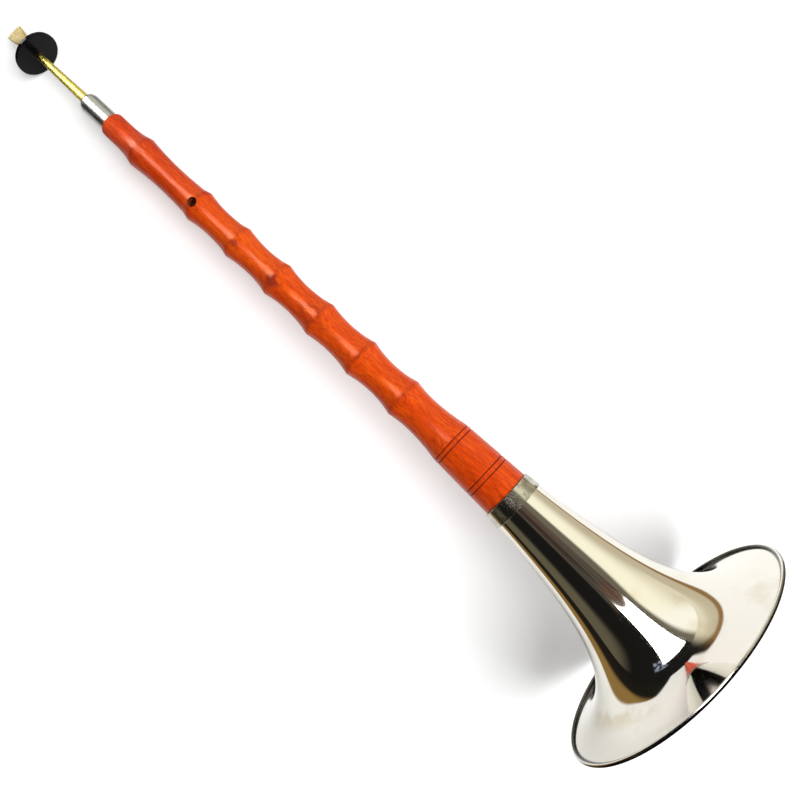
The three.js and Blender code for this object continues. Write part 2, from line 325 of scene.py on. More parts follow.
@dataclass(frozen=True)
class HornPose:
    """How the horn lies: its slope and the middle of the wood's top end."""

    slope: float = math.radians(6.7620)
    wood_top: Place = (-164.8477, 0.0, 20.6816)

    def matrix(self) -> Matrix:
        """Takes a point (s, y, z) on the horn to the part's frame."""
        turn = Matrix.Rotation(-self.slope, 4, "Y")
        return Matrix.Scale(MM, 4) @ Matrix.Translation(self.wood_top) @ turn

    def back(self, tree: NodeTree) -> Link:
        """Nodes that take Object coordinates back to (s, y, z) in millimetres.

        Args:
            tree: the material's tree.

        Returns:
            The vector's socket.
        """
        turn = Matrix.Rotation(self.slope, 3, "Y")
        inputs = {
            "Vector": tree.add("ShaderNodeTexCoord").outputs["Object"],
            "Location": -(turn @ Vector(self.wood_top)),
            "Rotation": (0.0, self.slope, 0.0),
            "Scale": (1 / MM, 1 / MM, 1 / MM),
        }
        return tree.add("ShaderNodeMapping", inputs=inputs).outputs[0]


POSE = HornPose()


@dataclass(frozen=True)
class StapleCone:
    """The brass cone's outside, and the pieces that fit over it one after another."""

    tip: float = -74.2
    reed_foot: float = -66.2
    disc_place: float = -64.9
    shoulder_place: float = -21.4
    radius_at_disc: float = 1.93
    radius_at_shoulder: float = 2.9
    spigot_length: float = 22.0
    spigot_wall: float = 0.5
    cork_wall: float = 0.5
    fit: float = 0.15
    seat_gap: float = 0.3

    def radius(self, s: float) -> float:
        """The cone's outside radius at s."""
        share = (s - self.disc_place) / (self.shoulder_place - self.disc_place)
        return lerp(self.radius_at_disc, self.radius_at_shoulder, share)

    def spigot(self) -> float:
        """The outside radius of the sleeve's spigot."""
        return self.radius(self.spigot_length) + self.fit + self.spigot_wall

    def cork(self) -> float:
        """The outside radius of the cork on the spigot."""
        return self.spigot() + self.fit + self.cork_wall


CONE = StapleCone()


@dataclass(frozen=True)
class WoodTurning:
    """What is turned on the wood, in shares of its length, for its shape and its finish."""

    length: float = 300.0
    crest_places: tuple[float, ...] = (0.0863, 0.2433, 0.3453, 0.4477, 0.5553, 0.658, 0.761)
    line_places: tuple[float, ...] = (0.8749, 0.8834, 0.9508, 0.96)
    line_width: float = 0.8

    def crests(self) -> list[float]:
        """Where the crests stand, as s."""
        return [place * self.length for place in self.crest_places]

    def lines(self) -> list[float]:
        """Where the double lines are cut, as s."""
        return [place * self.length for place in self.line_places]


WOOD = WoodTurning()


class HornPoint:
    """A shading point on the horn's own axis, as sockets."""

    def __init__(self, tree: NodeTree) -> None:
        """Adds the nodes that give s, y, z and the distance from the axis.

        Args:
            tree: the material's tree.
        """
        self.tree = tree
        self.vector = POSE.back(tree)
        self.s, self.y, self.z = tree.split(self.vector)
        self.radius = (self.y * self.y + self.z * self.z).root()

    def stretched(self, along: float, across: float) -> Link:
        """The point with its length and its width scaled apart, for grain and drawn lines."""
        return self.tree.vector("MULTIPLY", self.vector, (along, across, across))


# Finishes, and the materials that have been made from them, by name.

MADE: dict[str, bpy.types.Material] = {}


def constant(inputs: dict[str, Any]) -> Any:
    """A finish's field for the shader's inputs that are the same all over the surface."""
    return field(default_factory=lambda: dict(inputs), hash=False, compare=False)


@dataclass(frozen=True)
class Finish:
    """A finish: its name, its slot, and what is the same all over the surface."""

    name: str
    slot: str
    constants: dict[str, Any] = constant({})

    def material(self) -> bpy.types.Material:
        """Builds the finish's material when it is first asked for.

        Returns:
            The material, the same one each time.
        """
        found = MADE.get(self.name)
        if found is None:
            found = MADE[self.name] = bpy.data.materials.new(self.name)
            found.use_nodes = True
            tree = NodeTree(found.node_tree)
            shader = tree.add("ShaderNodeBsdfPrincipled", inputs=self.constants)
            for socket, source in self.paint(tree, HornPoint(tree)).items():
                source = source.socket if isinstance(source, Value) else source
                tree.tree.links.new(source, shader.inputs[socket])
            tree.add("ShaderNodeOutputMaterial", inputs={"Surface": shader.outputs[0]})
        return found

    def paint(self, tree: NodeTree, at: HornPoint) -> dict[str, Any]:
        """What varies over the surface; each finish has its own.

        Args:
            tree: the material's tree.
            at: the shading point.

        Returns:
            Links by the name of the shader's input.
        """
        raise NotImplementedError


@dataclass(frozen=True)
class GrainFigure:
    """A dark figure where the growth layers come out at a crest, seen from above."""

    s: float
    y: float
    length: float
    width: float
    strength: float
    hollow: bool = False
    fray: float = 0.7
    border: Zone = (0.4, 1.15)
    inner_border: Zone = (0.35, 0.85)
    upper_half: Zone = (0.0, 3.0)

    def mask(self, at: HornPoint, ragged: Value) -> Value:
        """How much of the figure's colour lies at a point.

        Args:
            at: the shading point.
            ragged: noise that frays the figure's edge.

        Returns:
            0 outside the figure up to its strength inside.
        """
        away = (at.s - self.s).size() / self.length + (at.y - self.y).size() / self.width
        away = away + (ragged - 0.5) * self.fray
        inside = away.below(*self.border) * at.z.above(*self.upper_half)
        if self.hollow:
            inside = inside * away.above(*self.inner_border)
        return inside * self.strength


@dataclass(frozen=True)
class LacqueredWood(Finish):
    """Red lacquered wood, with growth layers and pores, and painted shade in its turned lines and
    round its crests.
    """

    name: str = "lacquered_red_wood"
    slot: str = "red_wood"
    constants: dict[str, Any] = constant(
        {
            "IOR": 1.45,
            "Specular IOR Level": 0.34,
            "Specular Tint": (1.0, 0.8, 0.5, 1.0),
            "Coat Weight": 0.03,
            "Coat Roughness": 0.2,
            "Coat IOR": 1.5,
        }
    )
    light: Colour = tone(247, 108, 16)
    middle: Colour = tone(234, 78, 8)
    deep: Colour = tone(194, 48, 4)
    # Dark grain, and also the painted shade round the crests.
    dark_grain_and_crest_shade: Colour = tone(150, 34, 14)
    figure: Colour = tone(158, 48, 26)
    # Painted shade for the turned lines.
    turned_line_shade: Colour = tone(112, 32, 16)
    layer: float = 1.3
    lean: float = math.radians(16)
    pith_depth: float = 60.0
    wander: float = 4.0
    wander_grain: Grain = (0.022, 0.1)
    ripple: float = 0.5
    ripple_grain: Grain = (0.09, 0.5)
    broad_grain: Grain = (0.012, 0.16)
    fibre_grain: Grain = (0.15, 1.6)
    pore_grain: Grain = (0.28, 2.3)
    pore_share: Zone = (0.53, 0.68)
    late_start: Zone = (0.45, 0.9)
    late_end: Zone = (0.93, 1.0)
    lower_part: Zone = (60.0, 300.0)
    upper_part: Zone = (30.0, 110.0)
    dull_end: Zone = (8.0, 26.0)
    # How far the painted shade round each crest reaches.
    crest_shade_width: Zone = (0.2, 2.2)
    turned_line_shade_width: Zone = (WOOD.line_width * 0.225, WOOD.line_width * 0.5)
    swelling: float = 0.35
    relief: float = 0.05
    figures: tuple[GrainFigure, ...] = (
        GrainFigure(28.5, -2.2, 5.6, 4.2, 1.0, hollow=True),
        GrainFigure(105.9, -1.7, 3.6, 3.0, 0.8),
        GrainFigure(135.5, -2.4, 6.4, 5.0, 1.0),
        GrainFigure(163.5, -1.2, 11.5, 6.2, 0.85, hollow=True),
        GrainFigure(197.7, -0.6, 1.5, 3.2, 0.8),
        GrainFigure(229.2, -1.1, 3.6, 3.6, 0.8, hollow=True),
    )

    def paint(self, tree: NodeTree, at: HornPoint) -> dict[str, Any]:
        """Layered grain that a lathe has cut through, so that it loops round each crest.

        Args:
            tree: the material's tree.
            at: the shading point.

        Returns:
            Links by the name of the shader's input.
        """
        wander = tree.noise(at.stretched(*self.wander_grain))
        ripple = tree.noise(at.stretched(*self.ripple_grain))
        high = at.z * math.cos(self.lean) - at.y * math.sin(self.lean) + self.pith_depth
        side = at.y * math.cos(self.lean) + at.z * math.sin(self.lean)
        ring = (high * high + side * side).root()
        phase = ((ring + wander * self.wander + ripple * self.ripple) / self.layer).remainder()
        late = phase.above(*self.late_start) * phase.below(*self.late_end)

        broad = tree.noise(at.stretched(*self.broad_grain), detail=3.0, rough=0.6)
        fibre = tree.noise(at.stretched(*self.fibre_grain), detail=4.0, rough=0.65)
        pores = tree.noise(at.stretched(*self.pore_grain), detail=3.0, rough=0.7)
        pores = pores.above(*self.pore_share)
        lower = at.s.above(*self.lower_part)
        upper = at.s.below(*self.upper_part)
        shade = (broad * 0.9 + fibre * 1.5 - 0.7 + lower * 0.1 + upper * 0.23).limited()

        stops = [(0.12, self.light), (0.5, self.middle), (0.92, self.deep)]
        colour = tree.add("ShaderNodeValToRGB", {"stops": stops}, {0: shade}).outputs[0]
        colour = tree.mix(late * (fibre * 0.35 + lower * 0.08), colour, self.dark_grain_and_crest_shade)
        colour = tree.mix(pores * 0.55, colour, self.dark_grain_and_crest_shade)
        # Painted shade round each crest, broken up by the fibre, in the dark grain's colour.
        edge: Union[Value, float] = 0.0
        for place in WOOD.crests():
            edge = (at.s - place).size().below(*self.crest_shade_width) + edge
        colour = tree.mix(edge * (fibre * 0.45 + 0.1), colour, self.dark_grain_and_crest_shade)
        for figure in self.figures:
            colour = tree.mix(figure.mask(at, ripple), colour, self.figure)
        # Painted shade: the turned lines are darkened to stand for the shade inside the cuts.
        cut: Union[Value, float] = 0.0
        for place in WOOD.lines():
            cut = (at.s - place).size().below(*self.turned_line_shade_width) + cut
        colour = tree.mix(cut, colour, self.turned_line_shade)

        swell = tree.noise(at.vector, self.swelling, 1.0)
        height = fibre * 0.5 - pores * 0.35 + swell * 0.6
        rough = fibre * 0.1 + pores * 0.12 + cut * 0.25 + 0.24
        rough = rough + at.s.below(*self.dull_end) * 0.3
        return {
            "Base Color": colour,
            "Roughness": rough,
            "Normal": tree.bump(height, self.relief, 0.6),
        }


@dataclass(frozen=True)
class BareWood(Finish):
    """Wood inside the bore and the holes: oiled and darker, with cut fibres."""

    name: str = "bored_bare_wood"
    slot: str = "red_wood"
    pale: Colour = tone(150, 74, 40)
    dark: Colour = tone(84, 34, 20)
    fibre_grain: Grain = (0.2, 3.0)
    ring_waves: float = 5.0
    relief: float = 0.05

    def paint(self, tree: NodeTree, at: HornPoint) -> dict[str, Any]:
        """Short fibres, with rings left by the reamer.

        Args:
            tree: the material's tree.
            at: the shading point.

        Returns:
            Links by the name of the shader's input.
        """
        fibre = tree.noise(at.stretched(*self.fibre_grain), detail=3.0, rough=0.6)
        rings = (at.s * self.ring_waves).wave()
        colour = tree.mix(fibre.above(0.3, 0.7), self.dark, self.pale)
        return {
            "Base Color": colour,
            "Roughness": fibre * 0.2 + 0.6,
            "Normal": tree.bump(fibre + rings * 0.3, self.relief, 0.6),
        }


@dataclass(frozen=True)
class MirrorNickel(Finish):
    """Bright nickel plate on a spun bell, with faint spinning lines and wiped stains."""

    name: str = "bright_nickel_plate"
    slot: str = "bell_nickel"
    constants: dict[str, Any] = constant({"Metallic": 1.0})
    plate: Colour = tone(240, 237, 226)
    stain: Colour = tone(214, 203, 176)
    # Painted shade in the rim's crease, and a darker band on the rim's outside.
    rim_shade_and_band: Colour = tone(46, 44, 42)
    roll_radius: float = 68.363
    roll_place: float = 408.556
    roll_lean: float = math.radians(80.94)
    loose_inside: Zone = (0.86, 0.92)
    loose_outside: Zone = (0.98, 1.02)
    crease_start: Zone = (-2.3, -1.5)
    crease_bottom: Zone = (-0.72, -0.62)
    crease_top: Zone = (0.9, 1.2)
    outer_skin: Zone = (1.0, 1.04)
    outer_start: Zone = (0.15, 0.6)
    smear_place: float = 406.0
    smear_drift: float = 5.0
    smear_width: Zone = (0.3, 2.6)
    smear_side: Zone = (-26.0, -18.0)
    smear_height: Zone = (0.0, 10.0)
    spinning_grain: Grain = (1.7, 0.02)
    wiped_patches: float = 0.045
    speck_cells: float = 0.21
    swelling: float = 0.03
    relief: float = 0.02

    def _rim(self, tree: NodeTree, at: HornPoint) -> Value:
        """Painted shade in the crease inside the rolled edge, and a darker band in patches on its
        outer side.

        Args:
            tree: the material's tree.
            at: the shading point.

        Returns:
            0 away from both, up to 1.
        """
        out, down = at.radius - self.roll_radius, at.s - self.roll_place
        cosine, sine = math.cos(self.roll_lean), math.sin(self.roll_lean)
        along = out * sine + down * cosine
        high = out * cosine - down * sine
        away = (out * out + down * down).root()
        loose = away.above(*self.loose_outside) + away.below(*self.loose_inside)
        crease = along.above(*self.crease_start) * high.above(*self.crease_bottom)
        crease = crease * loose * high.below(*self.crease_top)
        outer = away.below(*self.outer_skin) * along.above(*self.outer_start)
        # Patches that break up the darker band on the outer side.
        worn = tree.noise(at.vector, 0.12)
        return (crease * 0.85 + outer * (worn * 0.5 + 0.35)).limited()

    def _smear(self, tree: NodeTree, at: HornPoint) -> Value:
        """A band of dried polish round the lower part of the flare, on one side.

        Args:
            tree: the material's tree.
            at: the shading point.

        Returns:
            0 where there is none, 1 in the middle of the band.
        """
        drift = tree.noise(at.vector, 0.09, 3.0, 0.6)
        band = at.s + drift * self.smear_drift - self.smear_place
        band = band.size().below(*self.smear_width)
        side = at.y.below(*self.smear_side) * at.z.above(*self.smear_height)
        return band * side * drift.above(0.3, 0.6)

    def paint(self, tree: NodeTree, at: HornPoint) -> dict[str, Any]:
        """A mirror that the spinning tool and years of wiping have marked a little.

        Args:
            tree: the material's tree.
            at: the shading point.

        Returns:
            Links by the name of the shader's input.
        """
        lines = tree.noise(at.stretched(*self.spinning_grain), detail=3.0, rough=0.6)
        wiped = tree.noise(at.vector, self.wiped_patches, 3.0, 0.55)
        specks = tree.cells(at.vector, self.speck_cells).below(0.05, 0.14)
        stain = (wiped.above(0.52, 0.78) * 0.5 + specks * 0.22).limited()
        # Painted shade in the rim's crease, with a darker band on its outside, mixed in below.
        rim_shade_and_band_share = self._rim(tree, at)
        stain = (stain + self._smear(tree, at) * 0.7).limited()
        rough = lines * 0.03 + wiped.above(0.45, 0.8) * 0.05 + specks * 0.1 + rim_shade_and_band_share * 0.2 + 0.028
        swell = tree.noise(at.vector, self.swelling, 1.0)
        colour = tree.mix(stain, self.plate, self.stain)
        return {
            "Base Color": tree.mix(rim_shade_and_band_share, colour, self.rim_shade_and_band),
            "Roughness": rough,
            "Normal": tree.bump(lines * 0.16 + swell * 1.5, self.relief, 0.5),
        }


@dataclass(frozen=True)
class DullNickel(Finish):
    """Plate on the collar strap, spotted where it has worn and been soldered."""

    name: str = "spotted_nickel_plate"
    slot: str = "dull_nickel"
    constants: dict[str, Any] = constant({"Metallic": 1.0})
    plate: Colour = tone(206, 204, 190)
    spot: Colour = tone(96, 92, 76)
    film_patches: float = 0.22
    spot_patches: float = 0.9
    line_grain: Grain = (3.0, 0.05)
    relief: float = 0.02

    def paint(self, tree: NodeTree, at: HornPoint) -> dict[str, Any]:
        """Many small dark spots on a matt film, and fine lines round the strap.

        Args:
            tree: the material's tree.
            at: the shading point.

        Returns:
            Links by the name of the shader's input.
        """
        film = tree.noise(at.vector, self.film_patches, 3.0, 0.6)
        spots = tree.noise(at.vector, self.spot_patches, 3.0, 0.7).above(0.58, 0.74)
        lines = tree.noise(at.stretched(*self.line_grain))
        mark = (spots * 0.4 + film.above(0.4, 0.62) * 0.5).limited()
        return {
            "Base Color": tree.mix(mark, self.plate, self.spot),
            "Roughness": film * 0.1 + spots * 0.1 + 0.13,
            "Normal": tree.bump(spots * 0.5 + lines * 0.2 + film, self.relief, 0.4),
        }


@dataclass(frozen=True)
class SleeveNickel(Finish):
    """Nickel plate on the staple's sleeve, polished lengthwise by handling."""

    name: str = "handled_nickel_plate"
    slot: str = "sleeve_nickel"
    constants: dict[str, Any] = constant({"Metallic": 1.0})
    plate: Colour = tone(170, 170, 164)
    worn: Colour = tone(148, 144, 134)
    along_grain: Grain = (0.12, 4.0)
    around_grain: Grain = (4.0, 0.1)
    film_patches: float = 0.4
    relief: float = 0.006

    def paint(self, tree: NodeTree, at: HornPoint) -> dict[str, Any]:
        """Fine scratches along and around, and a duller film in patches.

        Args:
            tree: the material's tree.
            at: the shading point.

        Returns:
            Links by the name of the shader's input.
        """
        along = tree.noise(at.stretched(*self.along_grain), detail=3.0, rough=0.6)
        around = tree.noise(at.stretched(*self.around_grain))
        film = tree.noise(at.vector, self.film_patches, 3.0, 0.6)
        return {
            "Base Color": tree.mix(film.above(0.4, 0.75) * 0.6, self.plate, self.worn),
            "Roughness": along * 0.1 + film * 0.08 + 0.2,
            "Normal": tree.bump(along * 0.5 + around * 0.4, self.relief, 0.4),
        }


@dataclass(frozen=True)
class DrawnMetal(Finish):
    """Metal tube or wire with lines from drawing and a darker film in places."""

    constants: dict[str, Any] = constant({"Metallic": 1.0})
    bright: Colour = tone(198, 184, 98)
    film: Colour = tone(158, 140, 64)
    roughness: float = 0.42
    line_grain: Grain = (0.1, 5.0)
    film_patches: float = 0.25
    relief: float = 0.004

    def paint(self, tree: NodeTree, at: HornPoint) -> dict[str, Any]:
        """Lines along the metal, and a film that gathers in soft patches.

        Args:
            tree: the material's tree.
            at: the shading point.

        Returns:
            Links by the name of the shader's input.
        """
        lines = tree.noise(at.stretched(*self.line_grain), detail=3.0, rough=0.6)
        patch = tree.noise(at.vector, self.film_patches, 3.0, 0.6).above(0.42, 0.8)
        return {
            "Base Color": tree.mix(patch * 0.6, self.bright, self.film),
            "Roughness": lines * 0.08 + patch * 0.1 + self.roughness,
            "Normal": tree.bump(lines, self.relief, 0.4),
        }


@dataclass(frozen=True)
class BlackPlastic(Finish):
    """Glossy black plastic of the lip disc, with fine lines from wiping."""

    name: str = "moulded_black_plastic"
    slot: str = "black_plastic"
    constants: dict[str, Any] = constant({"IOR": 1.5, "Specular IOR Level": 0.12})
    black: Colour = tone(12, 12, 13)
    dust: Colour = tone(54, 55, 54)
    ring_waves: float = 6.0
    dust_cells: float = 0.9
    smear_patches: float = 0.2
    relief: float = 0.005

    def paint(self, tree: NodeTree, at: HornPoint) -> dict[str, Any]:
        """Rings from the mould, scattered dust and smears from hands.

        Args:
            tree: the material's tree.
            at: the shading point.

        Returns:
            Links by the name of the shader's input.
        """
        rings = (at.radius * self.ring_waves).wave()
        dust = tree.cells(at.vector, self.dust_cells).below(0.03, 0.1)
        smear = tree.noise(at.vector, self.smear_patches, 3.0, 0.6)
        return {
            "Base Color": tree.mix(dust * 0.35 + smear * 0.06, self.black, self.dust),
            "Roughness": smear * 0.06 + dust * 0.2 + 0.03,
            "Normal": tree.bump(rings * 0.3 + smear, self.relief, 0.5),
        }


@dataclass(frozen=True)
class Cane(Finish):
    """Scraped cane: straw fibres, browner towards its foot."""

    name: str = "scraped_cane"
    slot: str = "cane"
    straw: Colour = tone(198, 182, 118)
    fibre: Colour = tone(176, 148, 84)
    brown: Colour = tone(176, 112, 62)
    fibre_grain: Grain = (0.15, 5.0)
    scrape_grain: Grain = (2.0, 0.3)
    blush_patches: float = 0.35
    brown_foot: Zone = (-79.0, -70.0)
    relief: float = 0.05

    def paint(self, tree: NodeTree, at: HornPoint) -> dict[str, Any]:
        """Long fibres and faint scraping marks across them.

        Args:
            tree: the material's tree.
            at: the shading point.

        Returns:
            Links by the name of the shader's input.
        """
        fibres = tree.noise(at.stretched(*self.fibre_grain), detail=3.0, rough=0.65)
        scrape = tree.noise(at.stretched(*self.scrape_grain))
        blush = tree.noise(at.vector, self.blush_patches)
        foot = (at.s + blush * 4.0).above(*self.brown_foot)
        colour = tree.mix(fibres.above(0.35, 0.75), self.straw, self.fibre)
        colour = tree.mix(foot * 0.55 + blush.above(0.55, 0.8) * 0.25, colour, self.brown)
        return {
            "Base Color": colour,
            "Roughness": fibres * 0.2 + 0.45,
            "Normal": tree.bump(fibres + scrape * 0.3, self.relief, 0.7),
        }


@dataclass(frozen=True)
class Cork(Finish):
    """Cork on the sleeve's spigot: tan grains with dark pits, pressed smooth."""

    name: str = "pressed_cork"
    slot: str = "cork"
    tan: Colour = tone(198, 152, 100)
    pit: Colour = tone(104, 66, 38)
    grain_cells: float = 1.1
    pit_patches: float = 1.6
    relief: float = 0.12

    def paint(self, tree: NodeTree, at: HornPoint) -> dict[str, Any]:
        """Grains of a millimetre with pits between them.

        Args:
            tree: the material's tree.
            at: the shading point.

        Returns:
            Links by the name of the shader's input.
        """
        grains = tree.cells(at.vector, self.grain_cells)
        pits = tree.noise(at.vector, self.pit_patches, 3.0, 0.6).above(0.58, 0.68)
        shade = (grains * 0.45 + pits * 0.8).limited()
        return {
            "Base Color": tree.mix(shade, self.tan, self.pit),
            "Roughness": grains * 0.15 + 0.72,
            "Normal": tree.bump(1 - shade, self.relief, 0.8),
        }


BRASS = DrawnMetal("yellow_brass", "staple_brass")
COPPER = DrawnMetal(
    "wound_copper", "copper_wire", bright=tone(206, 136, 92), film=tone(120, 70, 48)
)
STEEL = DrawnMetal(
    "drawn_steel", "steel_wire", bright=tone(176, 178, 180), film=tone(120, 112, 104)
)


# Meshes.


def link(name: str, mesh: bpy.types.Mesh) -> bpy.types.Object:
    """Puts a mesh into the scene.

    Args:
        name: the new object's name.
        mesh: the mesh.

    Returns:
        An object at the origin, unturned and unscaled.
    """
    piece = bpy.data.objects.new(name, mesh)
    bpy.context.scene.collection.objects.link(piece)
    return piece


def plain(source: bpy.types.Object, name: str) -> bpy.types.Object:
    """Turns an object with modifiers into a plain mesh object.

    Args:
        source: the object whose modifiers are to be carried out; it is removed.
        name: the name of the new object.

    Returns:
        A new object at the origin with the result as its mesh.
    """
    graph = bpy.context.evaluated_depsgraph_get()
    mesh = bpy.data.meshes.new_from_object(source.evaluated_get(graph))
    source.modifiers.clear()
    bpy.data.objects.remove(source)
    mesh.name = name
    return link(name, mesh)


def weld(mesh: bpy.types.Mesh, near: float) -> None:
    """Clears up after a cut, so that the mesh stays closed and without stray faces.

    Args:
        mesh: the mesh that was cut.
        near: points nearer together than this are joined.
    """
    cleaned = bmesh.new()
    cleaned.from_mesh(mesh)
    bmesh.ops.remove_doubles(cleaned, verts=cleaned.verts, dist=near)
    bmesh.ops.dissolve_degenerate(cleaned, edges=cleaned.edges, dist=near)
    alike: dict[frozenset[int], list[bmesh.types.BMFace]] = {}
    for face in cleaned.faces:
        alike.setdefault(frozenset(v.index for v in face.verts), []).append(face)
    folded = [face for faces in alike.values() if len(faces) > 1 for face in faces]
    bmesh.ops.delete(cleaned, geom=folded, context="FACES")
    cleaned.to_mesh(mesh)
    cleaned.free()


def cut_away(
    piece: bpy.types.Object, tools: list[bpy.types.Object], name: str
) -> bpy.types.Object:
    """Cuts other objects out of a piece and removes them.

    Args:
        piece: the piece, which is replaced.
        tools: closed bodies that take up what is cut away.
        name: the name of the new object.

    Returns:
        A new object with what is left of the piece.
    """
    for tool in tools:
        cut = piece.modifiers.new(tool.name, "BOOLEAN")
        cut.operation, cut.solver, cut.object = "DIFFERENCE", "EXACT", tool
    piece = plain(piece, name)
    for tool in tools:
        bpy.data.objects.remove(tool)
    return piece


def outward(mesh: bpy.types.Mesh) -> None:
    """Turns all faces of a closed mesh round where they point inwards.

    Args:
        mesh: the mesh; the volume that its faces enclose tells which way they point.
    """
    mesh.calc_loop_triangles()
    co = np.empty(len(mesh.vertices) * 3)
    mesh.vertices.foreach_get("co", co)
    tri = np.empty(len(mesh.loop_triangles) * 3, dtype=np.int32)
    mesh.loop_triangles.foreach_get("vertices", tri)
    a, b, c = co.reshape(-1, 3)[tri.reshape(-1, 3)].transpose(1, 0, 2)
    if np.einsum("ij,ij->i", a, np.cross(b, c)).sum() < 0:
        mesh.flip_normals()


def ring_mesh(name: str, rings: np.ndarray) -> bpy.types.Mesh:
    """A closed mesh from rings of points, the last of which joins the first one.

    Args:
        name: the mesh's name.
        rings: an array of rings by points by (s, y, z).

    Returns:
        The mesh, on the horn's own axis, with its faces outwards.
    """
    count, sides = rings.shape[:2]
    faces = []
    for i in range(count):
        here, there = i * sides, ((i + 1) % count) * sides
        for j in range(sides):
            k = (j + 1) % sides
            faces.append((here + j, there + j, there + k, here + k))
    mesh = bpy.data.meshes.new(name)
    mesh.from_pydata(rings.reshape(-1, 3).tolist(), [], faces)
    outward(mesh)
    return mesh


def turned(name: str, outline: Outline, sides: int) -> bpy.types.Object:
    """Turns a body round the axis.

    Args:
        name: the object's name.
        outline: a closed outline of (radius, s).
        sides: the number of points round the axis.

    Returns:
        An object whose mesh is on the horn's own axis.
    """
    angles = (np.arange(sides) + 0.5) / sides * FULL_TURN
    radius, place = np.array(outline).T
    rings = np.empty((len(outline), sides, 3))
    rings[..., 0] = place[:, None]
    rings[..., 1] = radius[:, None] * np.cos(angles)
    rings[..., 2] = radius[:, None] * np.sin(angles)
    return link(name, ring_mesh(name, rings))


def fine(outline: Outline, step: float) -> Outline:
    """Divides the long stretches of a closed outline.

    Args:
        outline: points (radius, s), the last of which joins the first one.
        step: the greatest distance between two points that is left.

    Returns:
        The outline with its old points and the new ones.
    """
    out: Outline = []
    for (r0, s0), (r1, s1) in zip(outline, outline[1:] + outline[:1]):
        parts = max(1, math.ceil(math.hypot(r1 - r0, s1 - s0) / step))
        out += [(lerp(r0, r1, i / parts), lerp(s0, s1, i / parts)) for i in range(parts)]
    return out


def arc(
    middle: tuple[float, float], radius: float, start: float, end: float, steps: int
) -> Outline:
    """Points on a round edge.

    Args:
        middle: the middle of the rounding, as (radius, s).
        radius: its radius.
        start: the first point's angle, 0 being away from the axis.
        end: the last point's angle.
        steps: the number of steps between them.

    Returns:
        The points, as (radius, s).
    """
    angles = [lerp(start, end, i / steps) for i in range(steps + 1)]
    return [
        (middle[0] + radius * math.cos(a), middle[1] + radius * math.sin(a)) for a in angles
    ]


@dataclass
class Assembly:
    """What every sub-assembly shares: how its pieces are finished and put on their bodies."""

    def settle(
        self,
        piece: bpy.types.Object,
        body: Body,
        finish: Finish,
        nodes: Sequence[str],
        crease: float = 32.0,
    ) -> None:
        """Places a piece, gives it its finish, and lets it stand for its nodes.

        Args:
            piece: an object whose mesh is still on the horn's own axis.
            body: the body that it rides on.
            finish: its finish; a piece that already has materials keeps them.
            nodes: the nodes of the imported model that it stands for.
            crease: edges that turn by more degrees than this stay sharp.
        """
        mesh = piece.data
        mesh.transform(POSE.matrix())
        if not mesh.materials:
            mesh.materials.append(finish.material())
        mesh.shade_smooth()
        mesh.set_sharp_from_angle(angle=math.radians(crease))
        mesh.update()
        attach(piece, body.value)
        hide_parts(*nodes)
        triangles = sum(len(p.vertices) - 2 for p in mesh.polygons)
        LOG.info("%s rides on %s: %d triangles", piece.name, body.value, triangles)


class RuleTree(NodeTree):
    """A geometry tree with named inputs, which makes a piece by a rule."""

    def __init__(self, name: str) -> None:
        """Starts an empty tree that takes a geometry and gives one.

        Args:
            name: the tree's name.
        """
        super().__init__(bpy.data.node_groups.new(name, "GeometryNodeTree"))
        self.face = self.tree.interface
        self.face.new_socket(name="Geometry", in_out="OUTPUT", socket_type="NodeSocketGeometry")
        self.face.new_socket(name="Geometry", in_out="INPUT", socket_type="NodeSocketGeometry")
        self.entry = self.add("NodeGroupInput")
        self.keys: dict[str, str] = {}

    def size(self, name: str, whole: bool = False) -> Value:
        """Adds a named input for a size.

        Args:
            name: the input's name.
            whole: whether it is a whole number.

        Returns:
            The size, for sums in the tree.
        """
        kind = "NodeSocketInt" if whole else "NodeSocketFloat"
        made = self.face.new_socket(name=name, in_out="INPUT", socket_type=kind)
        self.keys[name] = made.identifier
        return Value(self, self.entry.outputs[name])

    def close(self, geometry: Link, finish: Finish) -> None:
        """Ends the tree: instances are made real and the finish is set.

        Args:
            geometry: what the tree has made.
            finish: the finish of all of it.
        """
        real = self.add("GeometryNodeRealizeInstances", inputs={"Geometry": geometry})
        dressed = self.add(
            "GeometryNodeSetMaterial",
            inputs={"Geometry": real.outputs[0], "Material": finish.material()},
        )
        self.add("NodeGroupOutput", inputs={0: dressed.outputs[0]})

    def attach(self, piece: bpy.types.Object, sizes: dict[str, float]) -> None:
        """Puts the tree on an object as a modifier, before the object is evaluated.

        Args:
            piece: the object.
            sizes: a value for each named input.
        """
        modifier = piece.modifiers.new(self.tree.name, "NODES")
        modifier.node_group = self.tree
        for name, value in sizes.items():
            modifier[self.keys[name]] = value


# Sub-assemblies.


